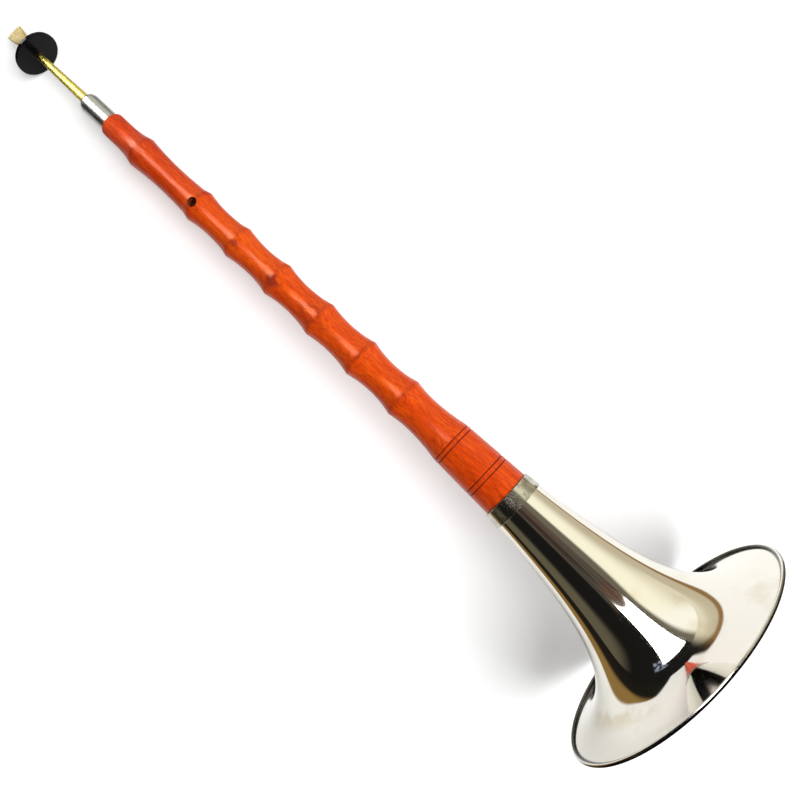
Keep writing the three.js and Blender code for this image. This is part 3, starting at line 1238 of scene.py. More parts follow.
@dataclass
class TurnedWood(Assembly):
    """The wooden body: crests and coves, double lines, bore, holes and tenon."""

    length: float = WOOD.length
    top_radius: float = 7.25
    bottom_radius: float = 13.7
    top_rounding: float = 1.3
    crest_places: tuple[float, ...] = WOOD.crest_places
    crest_radii: tuple[float, ...] = (0.683, 0.708, 0.721, 0.753, 0.779, 0.83, 0.835)
    valley_places: tuple[float, ...] = (
        0.035, 0.166, 0.292, 0.3965, 0.4985, 0.603, 0.7095, 0.8015,
    )
    valley_radii: tuple[float, ...] = (
        0.527, 0.577, 0.596, 0.613, 0.625, 0.674, 0.6875, 0.7465,
    )
    land: float = 5.0
    land_rise: float = 1.15
    cone_start: float = 0.872
    cone_start_radius: float = 0.9
    line_depth: float = 0.36
    bore_top: float = 4.2
    bore_bottom: float = 9.2
    finger_hole: float = 3.3
    thumb_hole: float = 2.8
    thumb_place: float = 0.2413
    thumb_turn: float = math.radians(6.5)
    tenon_radius: float = 12.9
    tenon_length: float = 25.0
    socket_radius: float = CONE.cork() + CONE.fit
    socket_depth: float = 25.0
    skin: float = 0.25
    cutter_spare: float = 3.0
    weld_distance: float = 0.002
    sides: int = 144
    hole_sides: int = 56
    top_steps: int = 8
    cove_steps: int = 18
    land_steps: tuple[float, ...] = (0.33, 0.67, 1.0)
    line_steps: tuple[float, ...] = (-1.0, -0.6, -0.25, 0.0, 0.25, 0.6, 1.0)
    longest_step: float = 2.4

    def outside(self) -> Outline:
        """Draws the outside from the top edge to the shoulder.

        Returns:
            Its points, as (radius, s).
        """
        line = [
            (
                self.top_radius - self.top_rounding * (1 - math.sin(turn)),
                self.top_rounding * (1 - math.cos(turn)),
            )
            for turn in (i / self.top_steps * QUARTER_TURN for i in range(self.top_steps + 1))
        ]
        scale, full = self.bottom_radius, self.length
        valleys = [(r * scale, p * full) for r, p in zip(self.valley_radii, self.valley_places)]
        crests = [(r * scale, p * full) for r, p in zip(self.crest_radii, self.crest_places)]
        line.append(valleys[0])
        steps = range(1, self.cove_steps + 1)
        for i, valley in enumerate(valleys):
            if i:
                line += [self._cove(valley, crests[i - 1], 1 - k / self.cove_steps) for k in steps]
            if i < len(crests):
                land = (crests[i][0] - self.land_rise, crests[i][1] - self.land)
                line += [self._cove(valley, land, k / self.cove_steps) for k in steps]
                line += [
                    (lerp(land[0], crests[i][0], k), lerp(land[1], crests[i][1], k))
                    for k in self.land_steps
                ]
        start = (self.cone_start_radius * scale, self.cone_start * full)
        line += [self._cove(valleys[-1], start, k / self.cove_steps) for k in steps]
        return line + self._lines(start) + [(scale, full)]

    def _cove(
        self, bottom: tuple[float, float], rim: tuple[float, float], share: float
    ) -> tuple[float, float]:
        """A point on the hollow that rises from its bottom to its rim."""
        return (lerp(bottom[0], rim[0], share * share), lerp(bottom[1], rim[1], share))

    def _lines(self, start: tuple[float, float]) -> Outline:
        """The turned double lines on the cone, rounded at their bottom.

        Args:
            start: the cone's upper end, as (radius, s).

        Returns:
            Their points, as (radius, s).
        """

        def cone(s: float) -> float:
            """The cone's radius at s."""
            share = (s - start[1]) / (self.length - start[1])
            return lerp(start[0], self.bottom_radius, share)

        line: Outline = []
        for place in WOOD.lines():
            for k in self.line_steps:
                s = place + k * WOOD.line_width / 2
                line.append((cone(s) - self.line_depth * (1 - k * k), s))
        return line

    def build(self) -> None:
        """Turns the body, bores its holes and finishes it."""
        outside = self.outside()
        end = self.length + self.tenon_length
        inside = [
            (self.tenon_radius, self.length),
            (self.tenon_radius, end),
            (self.bore_bottom, end),
            (self.bore_top, self.socket_depth),
            (self.socket_radius, self.socket_depth),
            (self.socket_radius, 0.0),
        ]
        blank = turned("wood_blank", fine(outside + inside, self.longest_step), self.sides)
        fingers = [place * self.length for place in self.valley_places[1:]]
        thumb = [self.thumb_place * self.length]
        cutters = [
            self._cutter(fingers, self.finger_hole, self.thumb_turn + math.pi),
            self._cutter(thumb, self.thumb_hole, self.thumb_turn),
        ]
        body = cut_away(blank, cutters, "turned_body")
        weld(body.data, self.weld_distance)
        self._bare_inside(body.data, outside)
        self.settle(body, Body.WOOD, LacqueredWood(), ["wood_body"])

    def _cutter(self, places: list[float], radius: float, turn: float) -> bpy.types.Object:
        """Round cutters that reach from the axis outwards.

        Args:
            places: where they stand along the horn, as s.
            radius: their radius.
            turn: their angle round the axis, from straight up.

        Returns:
            An object with all of them.
        """
        tree = RuleTree("hole_cutters")
        size, reach, lean = tree.size("Radius"), tree.size("Reach"), tree.size("Turn")
        rod = tree.add(
            "GeometryNodeMeshCylinder",
            inputs={"Vertices": self.hole_sides, "Radius": size, "Depth": reach},
        )
        moved = tree.add(
            "GeometryNodeTransform",
            inputs={"Geometry": rod.outputs[0], "Translation": tree.join(0.0, 0.0, reach / 2)},
        )
        copies = tree.add(
            "GeometryNodeInstanceOnPoints",
            inputs={
                "Points": tree.entry.outputs["Geometry"],
                "Instance": moved.outputs[0],
                "Rotation": tree.join(lean, 0.0, 0.0),
            },
        )
        tree.close(copies.outputs[0], BareWood())
        mesh = bpy.data.meshes.new("hole_places")
        mesh.from_pydata([(s, 0.0, 0.0) for s in places], [], [])
        source = link("hole_places", mesh)
        reached = self.bottom_radius + self.cutter_spare
        tree.attach(source, {"Radius": radius, "Reach": reached, "Turn": turn})
        return plain(source, "hole_rods")

    def _bare_inside(self, mesh: bpy.types.Mesh, outside: Outline) -> None:
        """Gives the bore, the holes and the tenon the bare finish and the rest the lacquer.

        Args:
            mesh: the body's mesh.
            outside: the outline of its outside, as (radius, s).
        """
        mesh.materials.clear()
        mesh.materials.append(LacqueredWood().material())
        mesh.materials.append(BareWood().material())
        radius, place = np.array(outside).T
        middle = np.empty(len(mesh.polygons) * 3)
        mesh.polygons.foreach_get("center", middle)
        s, y, z = middle.reshape(-1, 3).T
        inside = np.hypot(y, z) < np.interp(s, place, radius) - self.skin
        bare = inside | (s > self.length)
        mesh.polygons.foreach_set("material_index", bare.astype(np.int32))


@dataclass
class Staple(Assembly):
    """The brass cone, its nickel sleeve and the cork on the spigot."""

    wall: float = 0.35
    tip: float = CONE.tip
    sleeve_radius: float = 5.8
    shoulder_length: float = 4.2
    shoulder_lip: float = 0.45
    edge: float = 0.25
    cork_margin: float = 2.0
    cork_taper: float = 0.1
    cork_taper_length: float = 0.15
    sides: int = 96
    shoulder_steps: int = 14
    longest_step: float = 1.5
    longest_cork_step: float = 1.0

    def build(self) -> None:
        """Makes the three pieces."""
        end, shoulder = CONE.spigot_length, CONE.shoulder_place
        cone = [
            (CONE.radius(self.tip), self.tip),
            (CONE.radius(end), end),
            (CONE.radius(end) - self.wall, end),
            (CONE.radius(self.tip) - self.wall, self.tip),
        ]
        tube = turned("staple_cone", fine(cone, self.longest_step), self.sides)
        self.settle(tube, Body.STAPLE, BRASS, ["staple_tube"])

        mouth = CONE.radius(shoulder) + CONE.fit
        lip = mouth + self.shoulder_lip
        bore, spigot = CONE.radius(end) + CONE.fit, CONE.spigot()
        steps = self.shoulder_steps
        turns = [i / steps * QUARTER_TURN for i in range(steps + 1)]
        sleeve = [
            (
                lerp(lip, self.sleeve_radius, math.sin(t)),
                shoulder + self.shoulder_length * (1 - math.cos(t)),
            )
            for t in turns
        ]
        sleeve += [
            (self.sleeve_radius, -CONE.seat_gap - self.edge),
            (self.sleeve_radius - self.edge, -CONE.seat_gap),
            (spigot, -CONE.seat_gap),
            (spigot, end),
            (bore, end),
            (bore, shoulder + self.shoulder_length),
            (mouth + CONE.fit, shoulder + CONE.spigot_wall),
            (mouth, shoulder),
        ]
        piece = turned("staple_sleeve_shell", fine(sleeve, self.longest_step), self.sides)
        self.settle(piece, Body.STAPLE, SleeveNickel(), ["staple_sleeve"])

        inner = spigot + CONE.fit
        outer, top, foot = CONE.cork(), self.cork_margin, end - self.cork_margin
        cork = [
            (outer - self.cork_taper, top),
            (outer, top + self.cork_taper_length),
            (outer, foot - self.cork_taper_length),
            (outer - self.cork_taper, foot),
            (inner, foot),
            (inner, top),
        ]
        piece = turned("spigot_cork", fine(cork, self.longest_cork_step), self.sides)
        self.settle(piece, Body.STAPLE, Cork(), ["staple_cork"])


@dataclass
class LipDisc(Assembly):
    """The round disc that the lips rest on."""

    place: float = CONE.disc_place
    radius: float = 13.1
    thickness: float = 2.0
    edge: float = 0.5
    mouth: float = 3.61
    solid_sides: int = 48
    sides: int = 192
    edge_steps: int = 7
    longest_step: float = 1.4

    def build(self) -> None:
        """Turns the disc with its rounded edge and countersunk hole.

        Its rim lies inside the flats of the solid model's disc.
        """
        face, back = self.place - self.thickness / 2, self.place + self.thickness / 2
        middle = self.radius * math.cos(math.pi / self.solid_sides) - self.edge
        edge, steps = self.edge, self.edge_steps
        outline = arc((middle, face + edge), edge, -QUARTER_TURN, 0.0, steps)
        outline += arc((middle, back - edge), edge, 0.0, QUARTER_TURN, steps)
        outline += [
            (CONE.radius(back) + CONE.fit, back),
            (CONE.radius(self.place) + CONE.fit, self.place),
            (self.mouth, face),
        ]
        piece = turned("lip_plate", fine(outline, self.longest_step), self.sides)
        self.settle(piece, Body.DISC, BlackPlastic(), ["lip_disc"], crease=40.0)


@dataclass
class Reed(Assembly):
    """The cane reed, pressed flat at its tip, and the wire wound round its foot."""

    foot: float = CONE.reed_foot
    seat_end: float = CONE.tip
    tip: float = -85.5
    foot_bore: float = CONE.radius(CONE.reed_foot) + CONE.fit
    wall: float = 0.7
    tip_width: float = 9.7
    tip_thickness: float = 1.3
    tip_wall: float = 0.35
    wire_radius: float = 0.28
    wire_pitch: float = 1.15
    wire_turns: int = 5
    wire_margin: float = 1.0
    wire_sides: int = 14
    wire_steps: int = 64
    sides: int = 96
    seat_rings: int = 6
    blade_steps: int = 24

    def oval(self, s: float, half_width: float, half_thickness: float) -> np.ndarray:
        """One closed curve round the reed.

        Args:
            s: its place.
            half_width: its half across the horn.
            half_thickness: its half upwards.

        Returns:
            Its points, as (s, y, z).
        """
        angles = np.arange(self.sides) / self.sides * FULL_TURN
        across, up = half_width * np.cos(angles), half_thickness * np.sin(angles)
        return np.stack([np.full(self.sides, s), across, up], axis=1)

    def build(self) -> None:
        """Makes the reed and its wire."""
        foot_radius = self.foot_bore + self.wall
        outside, inside = [], []
        for i in range(self.seat_rings):
            s = lerp(self.foot, self.seat_end, i / self.seat_rings)
            outside.append(self.oval(s, foot_radius, foot_radius))
            inside.append(self.oval(s, self.foot_bore, self.foot_bore))
        for i in range(self.blade_steps + 1):
            left = 1 - i / self.blade_steps
            gone = 1 - left * left
            s = lerp(self.tip, self.seat_end, left)
            wide = lerp(foot_radius, self.tip_width / 2, gone)
            thick = lerp(foot_radius, self.tip_thickness / 2, gone)
            wall = lerp(self.wall, self.tip_wall, gone)
            outside.append(self.oval(s, wide, thick))
            inside.append(self.oval(s, wide - wall, thick - wall))
        rings = np.array(outside + inside[::-1])
        reed = link("cane_reed", ring_mesh("cane_reed", rings))
        self.settle(reed, Body.REED, Cane(), ["reed"], crease=50.0)
        self.settle(self._wire(foot_radius), Body.REED, COPPER, ["reed_wire"], crease=60.0)

    def _wire(self, foot_radius: float) -> bpy.types.Object:
        """The winding: a wire that follows a screw line.

        Args:
            foot_radius: the outside radius of the reed's foot.

        Returns:
            The wire.
        """
        tree = RuleTree("wound_wire")
        start, pitch, turns = tree.size("Start"), tree.size("Pitch"), tree.size("Turns")
        line, thick = tree.size("Line radius"), tree.size("Wire radius")
        steps = tree.size("Steps", whole=True)
        straight = tree.add("GeometryNodeCurvePrimitiveLine", inputs={"End": (1.0, 0.0, 0.0)})
        run = tree.add(
            "GeometryNodeResampleCurve",
            {"mode": "COUNT"},
            {"Curve": straight.outputs[0], "Count": steps},
        )
        share = tree.split(tree.add("GeometryNodeInputPosition").outputs[0])[0]
        turned_by = share * turns
        angle = turned_by * FULL_TURN
        s = start - turned_by * pitch
        place = tree.join(s, line * angle.cosine(), line * angle.sine())
        screw = tree.add(
            "GeometryNodeSetPosition", inputs={"Geometry": run.outputs[0], "Position": place}
        )
        section = tree.add(
            "GeometryNodeCurvePrimitiveCircle",
            inputs={"Resolution": self.wire_sides, "Radius": thick},
        )
        wire = tree.add(
            "GeometryNodeCurveToMesh",
            inputs={
                "Curve": screw.outputs[0],
                "Profile Curve": section.outputs[0],
                "Fill Caps": True,
            },
        )
        tree.close(wire.outputs[0], COPPER)
        source = link("wire_source", bpy.data.meshes.new("wire_source"))
        sizes = {
            "Start": self.foot - self.wire_margin,
            "Pitch": self.wire_pitch,
            "Turns": float(self.wire_turns),
            "Line radius": foot_radius + CONE.fit + self.wire_radius,
            "Wire radius": self.wire_radius,
            "Steps": self.wire_turns * self.wire_steps + 1,
        }
        tree.attach(source, sizes)
        wire_piece = plain(source, "reed_winding")
        outward(wire_piece.data)
        return wire_piece


@dataclass
class Bell(Assembly):
    """The spun bell with its rolled edge and rim wire, and the collar strap on its throat."""

    top: float = 300.3
    length: float = 108.66
    throat: float = 14.17
    mouth: float = 68.4
    wall: float = 0.5
    focus: float = 4.08
    power: float = 0.294
    bead_bore: float = 0.45
    roll: float = math.radians(290)
    rim_wire: float = 0.3
    collar_length: float = 8.6
    collar_wall: float = 0.4
    nick_width: float = 1.1
    nick_depth: float = 1.6
    nick_turn: float = math.radians(-58)
    nick_reach: float = 3.0
    collar_edge: float = 0.12
    fit: float = 0.15
    inscribed: float = 0.9975
    seam: float = 1e-4
    along: int = 132
    roll_steps: int = 16
    collar_steps: int = 12
    wire_sides: int = 12
    sides: int = 216

    def radius(self, x: float) -> float:
        """The horn curve.

        Args:
            x: a distance below the bell's top.

        Returns:
            The bell's outside radius there.
        """
        full = self.length + self.focus
        start = (full / self.length) ** -self.power
        end = (self.focus / self.length) ** -self.power
        here = ((full - x) / self.length) ** -self.power
        return lerp(self.throat, self.mouth, (here - start) / (end - start))

    def mouth_slope(self) -> float:
        """The angle between the axis and the horn curve at the mouth."""
        step = self.length * HAIR
        return math.atan2(self.radius(self.length) - self.radius(self.length - step), step)

    def bead(self) -> tuple[float, float, float]:
        """The middle of the rolled edge.

        Returns:
            Its radius, its place below the bell's top, and the mouth's slope.
        """
        slope = self.mouth_slope()
        return (
            self.mouth + self.bead_bore * math.cos(slope),
            self.length - self.bead_bore * math.sin(slope),
            slope,
        )

    def _rule(self) -> RuleTree:
        """Spins the sheet: a horn curve, then a roll, turned round the axis.

        Returns:
            The tree.
        """
        tree = RuleTree("horn_curve_bell")
        top, length, throat = tree.size("Top"), tree.size("Length"), tree.size("Throat radius")
        mouth, focus, power = tree.size("Mouth radius"), tree.size("Focus"), tree.size("Power")
        bead_radius, bead_place = tree.size("Bead radius"), tree.size("Bead place")
        bead_bore, roll = tree.size("Bead bore"), tree.size("Roll")
        roll_start = tree.size("Roll start")
        inscribed, part = tree.size("Inscribed share"), tree.size("Horn part")
        along, around = tree.size("Along", whole=True), tree.size("Around", whole=True)
        grid = tree.add(
            "GeometryNodeMeshGrid",
            inputs={"Size X": 1.0, "Size Y": 1.0, "Vertices X": along, "Vertices Y": around},
        )
        u, v, _ = tree.split(tree.add("GeometryNodeInputPosition").outputs[0])
        u, v = u + 0.5, v + 0.5
        gone = (u / part).limited()
        x = length * (1 - (1 - gone) ** 2.0)
        full = length + focus

        def curve(distance: Value) -> Value:
            """The rising term of the horn curve."""
            return (distance / length) ** -power

        share = (curve(full - x) - curve(full)) / (curve(focus) - curve(full))
        horn = throat + (mouth - throat) * share
        turn = roll_start + roll * ((u - part) / (1 - part)).limited()
        rolled = tree.math("GREATER_THAN", u, part + HAIR)
        radius = horn * (1 - rolled) + (bead_radius + bead_bore * turn.sine()) * rolled
        place = x * (1 - rolled) + (bead_place + bead_bore * turn.cosine()) * rolled
        radius = radius * inscribed
        angle = v * FULL_TURN
        spot = tree.join(top + place, radius * angle.cosine(), radius * angle.sine())
        sheet = tree.add(
            "GeometryNodeSetPosition", inputs={"Geometry": grid.outputs[0], "Position": spot}
        )
        seam = tree.add(
            "GeometryNodeMergeByDistance",
            inputs={"Geometry": sheet.outputs[0], "Distance": self.seam},
        )
        tree.close(seam.outputs[0], MirrorNickel())
        return tree

    def build(self) -> None:
        """Spins the bell, lays the wire into its rim and straps its throat."""
        bead_radius, bead_place, slope = self.bead()
        count = self.along + self.roll_steps + 1
        source = link("bell_source", bpy.data.meshes.new("bell_source"))
        sizes = {
            "Top": self.top,
            "Length": self.length,
            "Throat radius": self.throat,
            "Mouth radius": self.mouth,
            "Focus": self.focus,
            "Power": self.power,
            "Bead radius": bead_radius,
            "Bead place": bead_place,
            "Bead bore": self.bead_bore,
            "Roll start": slope - QUARTER_TURN,
            "Roll": self.roll,
            "Inscribed share": self.inscribed,
            "Horn part": self.along / (count - 1),
            "Along": count,
            "Around": self.sides + 1,
        }
        self._rule().attach(source, sizes)
        sheet = plain(source, "bell_sheet")
        self._face_out(sheet.data)
        skin = sheet.modifiers.new("wall", "SOLIDIFY")
        skin.thickness, skin.offset, skin.use_even_offset = self.wall, -1.0, True
        shell = plain(sheet, "bell_shell")
        outward(shell.data)
        self.settle(shell, Body.BELL, MirrorNickel(), ["bell_flare"], crease=60.0)

        middle = (bead_radius * self.inscribed, self.top + bead_place)
        section = arc(middle, self.rim_wire, 0.0, FULL_TURN, self.wire_sides)
        wire = turned("rim_wire", section[:-1], self.sides)
        self.settle(wire, Body.BELL, STEEL, ["bell_rim_wire"], crease=80.0)
        self._collar()

    def _face_out(self, mesh: bpy.types.Mesh) -> None:
        """Turns the open sheet so that its faces point away from the axis.

        Args:
            mesh: the sheet.
        """
        face = mesh.polygons[0]
        if face.normal.dot(Vector((0.0, face.center.y, face.center.z))) < 0:
            mesh.flip_normals()

    def _collar(self) -> None:
        """The strap, with a small nick in its lower edge."""
        end, edge = self.top + self.collar_length, self.collar_edge

        def bore(s: float) -> float:
            """The strap's inside radius at s."""
            return self.radius(s - self.top) + self.fit

        def skin(s: float) -> float:
            """The strap's outside radius at s."""
            return bore(s) + self.collar_wall

        steps = self.collar_steps
        places = [lerp(self.top, end, i / steps) for i in range(1, steps)]
        outline = [(skin(self.top) - edge, self.top), (skin(self.top), self.top + edge)]
        outline += [(skin(s), s) for s in places]
        outline += [(skin(end), end - edge), (skin(end) - edge, end)]
        outline += [(bore(s), s) for s in (end, lerp(self.top, end, 0.5), self.top)]
        strap = turned("strap_blank", outline, self.sides)
        strap = cut_away(strap, [self._nick(end, skin(end))], "collar_strap")
        strap.data.materials.clear()
        self.settle(strap, Body.BELL, DullNickel(), ["bell_collar"])

    def _nick(self, end: float, radius: float) -> bpy.types.Object:
        """A block that takes up the nick in the strap's lower edge.

        Args:
            end: the place of that edge, as s.
            radius: the strap's outside radius there.

        Returns:
            The block.
        """
        reach, half = self.nick_reach, self.nick_width / 2
        points = [
            (s, y, z)
            for s in (end - self.nick_depth, end + reach)
            for y in (-half, half)
            for z in (radius - reach, radius + reach)
        ]
        faces = [
            (0, 1, 3, 2), (4, 6, 7, 5), (0, 4, 5, 1),
            (2, 3, 7, 6), (0, 2, 6, 4), (1, 5, 7, 3),
        ]
        mesh = bpy.data.meshes.new("nick")
        mesh.from_pydata(points, [], faces)
        mesh.transform(Matrix.Rotation(self.nick_turn, 4, "X"))
        outward(mesh)
        return link("nick", mesh)


# Studio.


@dataclass
class Viewpoint:
    """The camera, above the table, as the photograph's perspective gives it."""

    place: Place = (68.632, -1.962, 424.998)
    right: Place = (0.72825723, 0.68515, -0.01442122)
    down: Place = (0.6850157, -0.7284, -0.01356494)
    ahead: Place = (-0.01979849, 0.0, -0.99980399)
    focal_pixels: float = 723.418
    frame_pixels: float = 800.0
    sensor: float = 36.0
    nearest: float = 0.01
    farthest: float = 50.0

    def build(self) -> None:
        """Makes the camera and sets it as the scene's."""
        camera = bpy.data.cameras.new("view")
        camera.sensor_width = self.sensor
        camera.lens = self.focal_pixels / self.frame_pixels * self.sensor
        camera.clip_start, camera.clip_end = self.nearest, self.farthest
        made = bpy.data.objects.new("view", camera)
        bpy.context.scene.collection.objects.link(made)
        axes = [Vector(self.right), -Vector(self.down), -Vector(self.ahead)]
        turn = Matrix(axes).transposed()
        made.matrix_world = Matrix.Translation(Vector(self.place) * MM) @ turn.to_4x4()
        bpy.context.scene.camera = made


@dataclass(frozen=True)
class Lamp:
    """A soft rectangular lamp that doesn't show in reflections."""

    name: str
    place: Place
    aim: Place
    size: tuple[float, float]
    power: float

    def build(self) -> None:
        """Hangs the lamp in its place and aims it."""
        lamp = bpy.data.lights.new(self.name, "AREA")
        lamp.shape, lamp.energy = "RECTANGLE", self.power
        lamp.size, lamp.size_y = self.size
        made = bpy.data.objects.new(self.name, lamp)
        bpy.context.scene.collection.objects.link(made)
        made.location = self.place
        made.rotation_mode = "QUATERNION"
        aimed = Vector(self.aim) - Vector(self.place)
        made.rotation_quaternion = aimed.to_track_quat("-Z", "Y")
        made.visible_glossy = False


@dataclass
class Table:
    """The white table, clear from below, with what lies past its edges in reflections.

    The first reflection of a ray sees, in millimetres of the part's frame, a far and a near
    edge that run at a slant, an end, and the parts of a room past them. All other rays see
    plain white.
    """

    half: float = 2.5
    white: Colour = (0.9, 0.9, 0.9)
    lift: float = 0.3
    mirrored_lift: float = 0.3
    fade: Zone = (350.0, 1100.0)
    far_edge: Slant = (-40.0, 140.0, 50.0, 168.0)
    far_soft: Zone = (-8.0, 12.0)
    near_edge: Slant = (0.0, 90.0, 100.0, 134.0)
    near_soft: Zone = (-6.0, 8.0)
    end: float = -262.0
    end_soft: Zone = (-10.0, 12.0)
    far_wall: Colour = (0.6, 0.53, 0.39)
    far_wall_lit: Colour = (0.86, 0.81, 0.64)
    far_wall_lit_places: Zone = (-450.0, 120.0)
    far_strip: Colour = tone(152, 118, 76)
    far_strip_width: Zone = (40.0, 80.0)
    far_shade: Colour = tone(32, 30, 26)
    far_shade_corner: float = 250.0
    far_shade_slope: Zone = (0.18, 0.42)
    far_shade_places: Zone = (60.0, 160.0)
    near_strip: Colour = tone(146, 116, 66)
    near_dark: Colour = tone(34, 30, 24)
    near_strip_width: Zone = (60.0, 170.0)
    near_shade: Colour = tone(30, 28, 24)
    near_shade_places: Zone = (0.0, 60.0)
    end_dark: Colour = tone(26, 25, 24)
    end_dark_sides: Zone = (90.0, 150.0)
    sides_meet: Zone = (-60.0, 60.0)

    def build(self) -> None:
        """Lays the table top."""
        half = self.half
        rim = [(-half, -half, 0.0), (half, -half, 0.0), (half, half, 0.0), (-half, half, 0.0)]
        mesh = bpy.data.meshes.new("table_top")
        mesh.from_pydata(rim, [], [(0, 1, 2, 3)])
        material = bpy.data.materials.new("table_white")
        material.use_nodes = True
        tree = NodeTree(material.node_tree)
        path = tree.add("ShaderNodeLightPath").outputs
        glossy = Value(tree, path["Is Glossy Ray"])
        spot = tree.add("ShaderNodeTexCoord").outputs["Object"]
        x, y, _ = tree.split(tree.vector("SCALE", spot, Scale=1 / MM))

        seen = Value(tree, path["Is Camera Ray"]) + glossy * self.mirrored_lift
        seen = (seen + Value(tree, path["Is Transmission Ray"])).limited()
        matt = tree.add("ShaderNodeBsdfDiffuse", inputs={"Color": self.white})
        away = (x * x + y * y).root().above(*self.fade)
        level = seen * (away * (1 - self.lift) + self.lift)
        glow = tree.add("ShaderNodeEmission", inputs={"Color": (1, 1, 1), "Strength": level})
        white = tree.add("ShaderNodeAddShader", inputs={0: matt.outputs[0], 1: glow.outputs[0]})

        past, colour = self._past_edges(tree, x, y)
        first = Value(tree, path["Ray Depth"]).below(1.0, 2.0)
        room = tree.add("ShaderNodeEmission", inputs={"Color": colour, "Strength": 1.0})
        ends = {0: past * glossy * first, 1: white.outputs[0], 2: room.outputs[0]}
        top = tree.add("ShaderNodeMixShader", inputs=ends)
        under = tree.add("ShaderNodeNewGeometry").outputs["Backfacing"]
        clear = tree.add("ShaderNodeBsdfTransparent")
        ends = {0: under, 1: top.outputs[0], 2: clear.outputs[0]}
        both = tree.add("ShaderNodeMixShader", inputs=ends)
        tree.add("ShaderNodeOutputMaterial", inputs={"Surface": both.outputs[0]})
        mesh.materials.append(material)
        link("table_top", mesh)

    def _past_edges(self, tree: NodeTree, x: Value, y: Value) -> tuple[Value, Link]:
        """What the bell mirrors past the table's edges.

        Args:
            tree: the material's tree.
            x: the place along the part, in millimetres.
            y: the place across it.

        Returns:
            How much a point lies past an edge, and the colour there.
        """
        far_side = y - x.span(*self.far_edge)
        near_side = -y - x.span(*self.near_edge)
        past_end = (self.end - x).above(*self.end_soft)
        past = far_side.above(*self.far_soft) + near_side.above(*self.near_soft) + past_end

        wall = tree.mix(x.below(*self.far_wall_lit_places), self.far_wall, self.far_wall_lit)
        far = tree.mix(far_side.above(*self.far_strip_width), self.far_strip, wall)
        shaded = (y / (self.far_shade_corner - x)).below(*self.far_shade_slope)
        shaded = shaded * x.below(*self.far_shade_places)
        far = tree.mix(shaded, far, self.far_shade)
        dark = near_side.above(*self.near_strip_width)
        near = tree.mix(dark, self.near_strip, self.near_dark)
        near = tree.mix(x.below(*self.near_shade_places), near, self.near_shade)
        colour = tree.mix(y.above(*self.sides_meet), near, far)
        opening = past_end * y.below(*self.end_dark_sides)
        return past.limited(), tree.mix(opening, colour, self.end_dark)


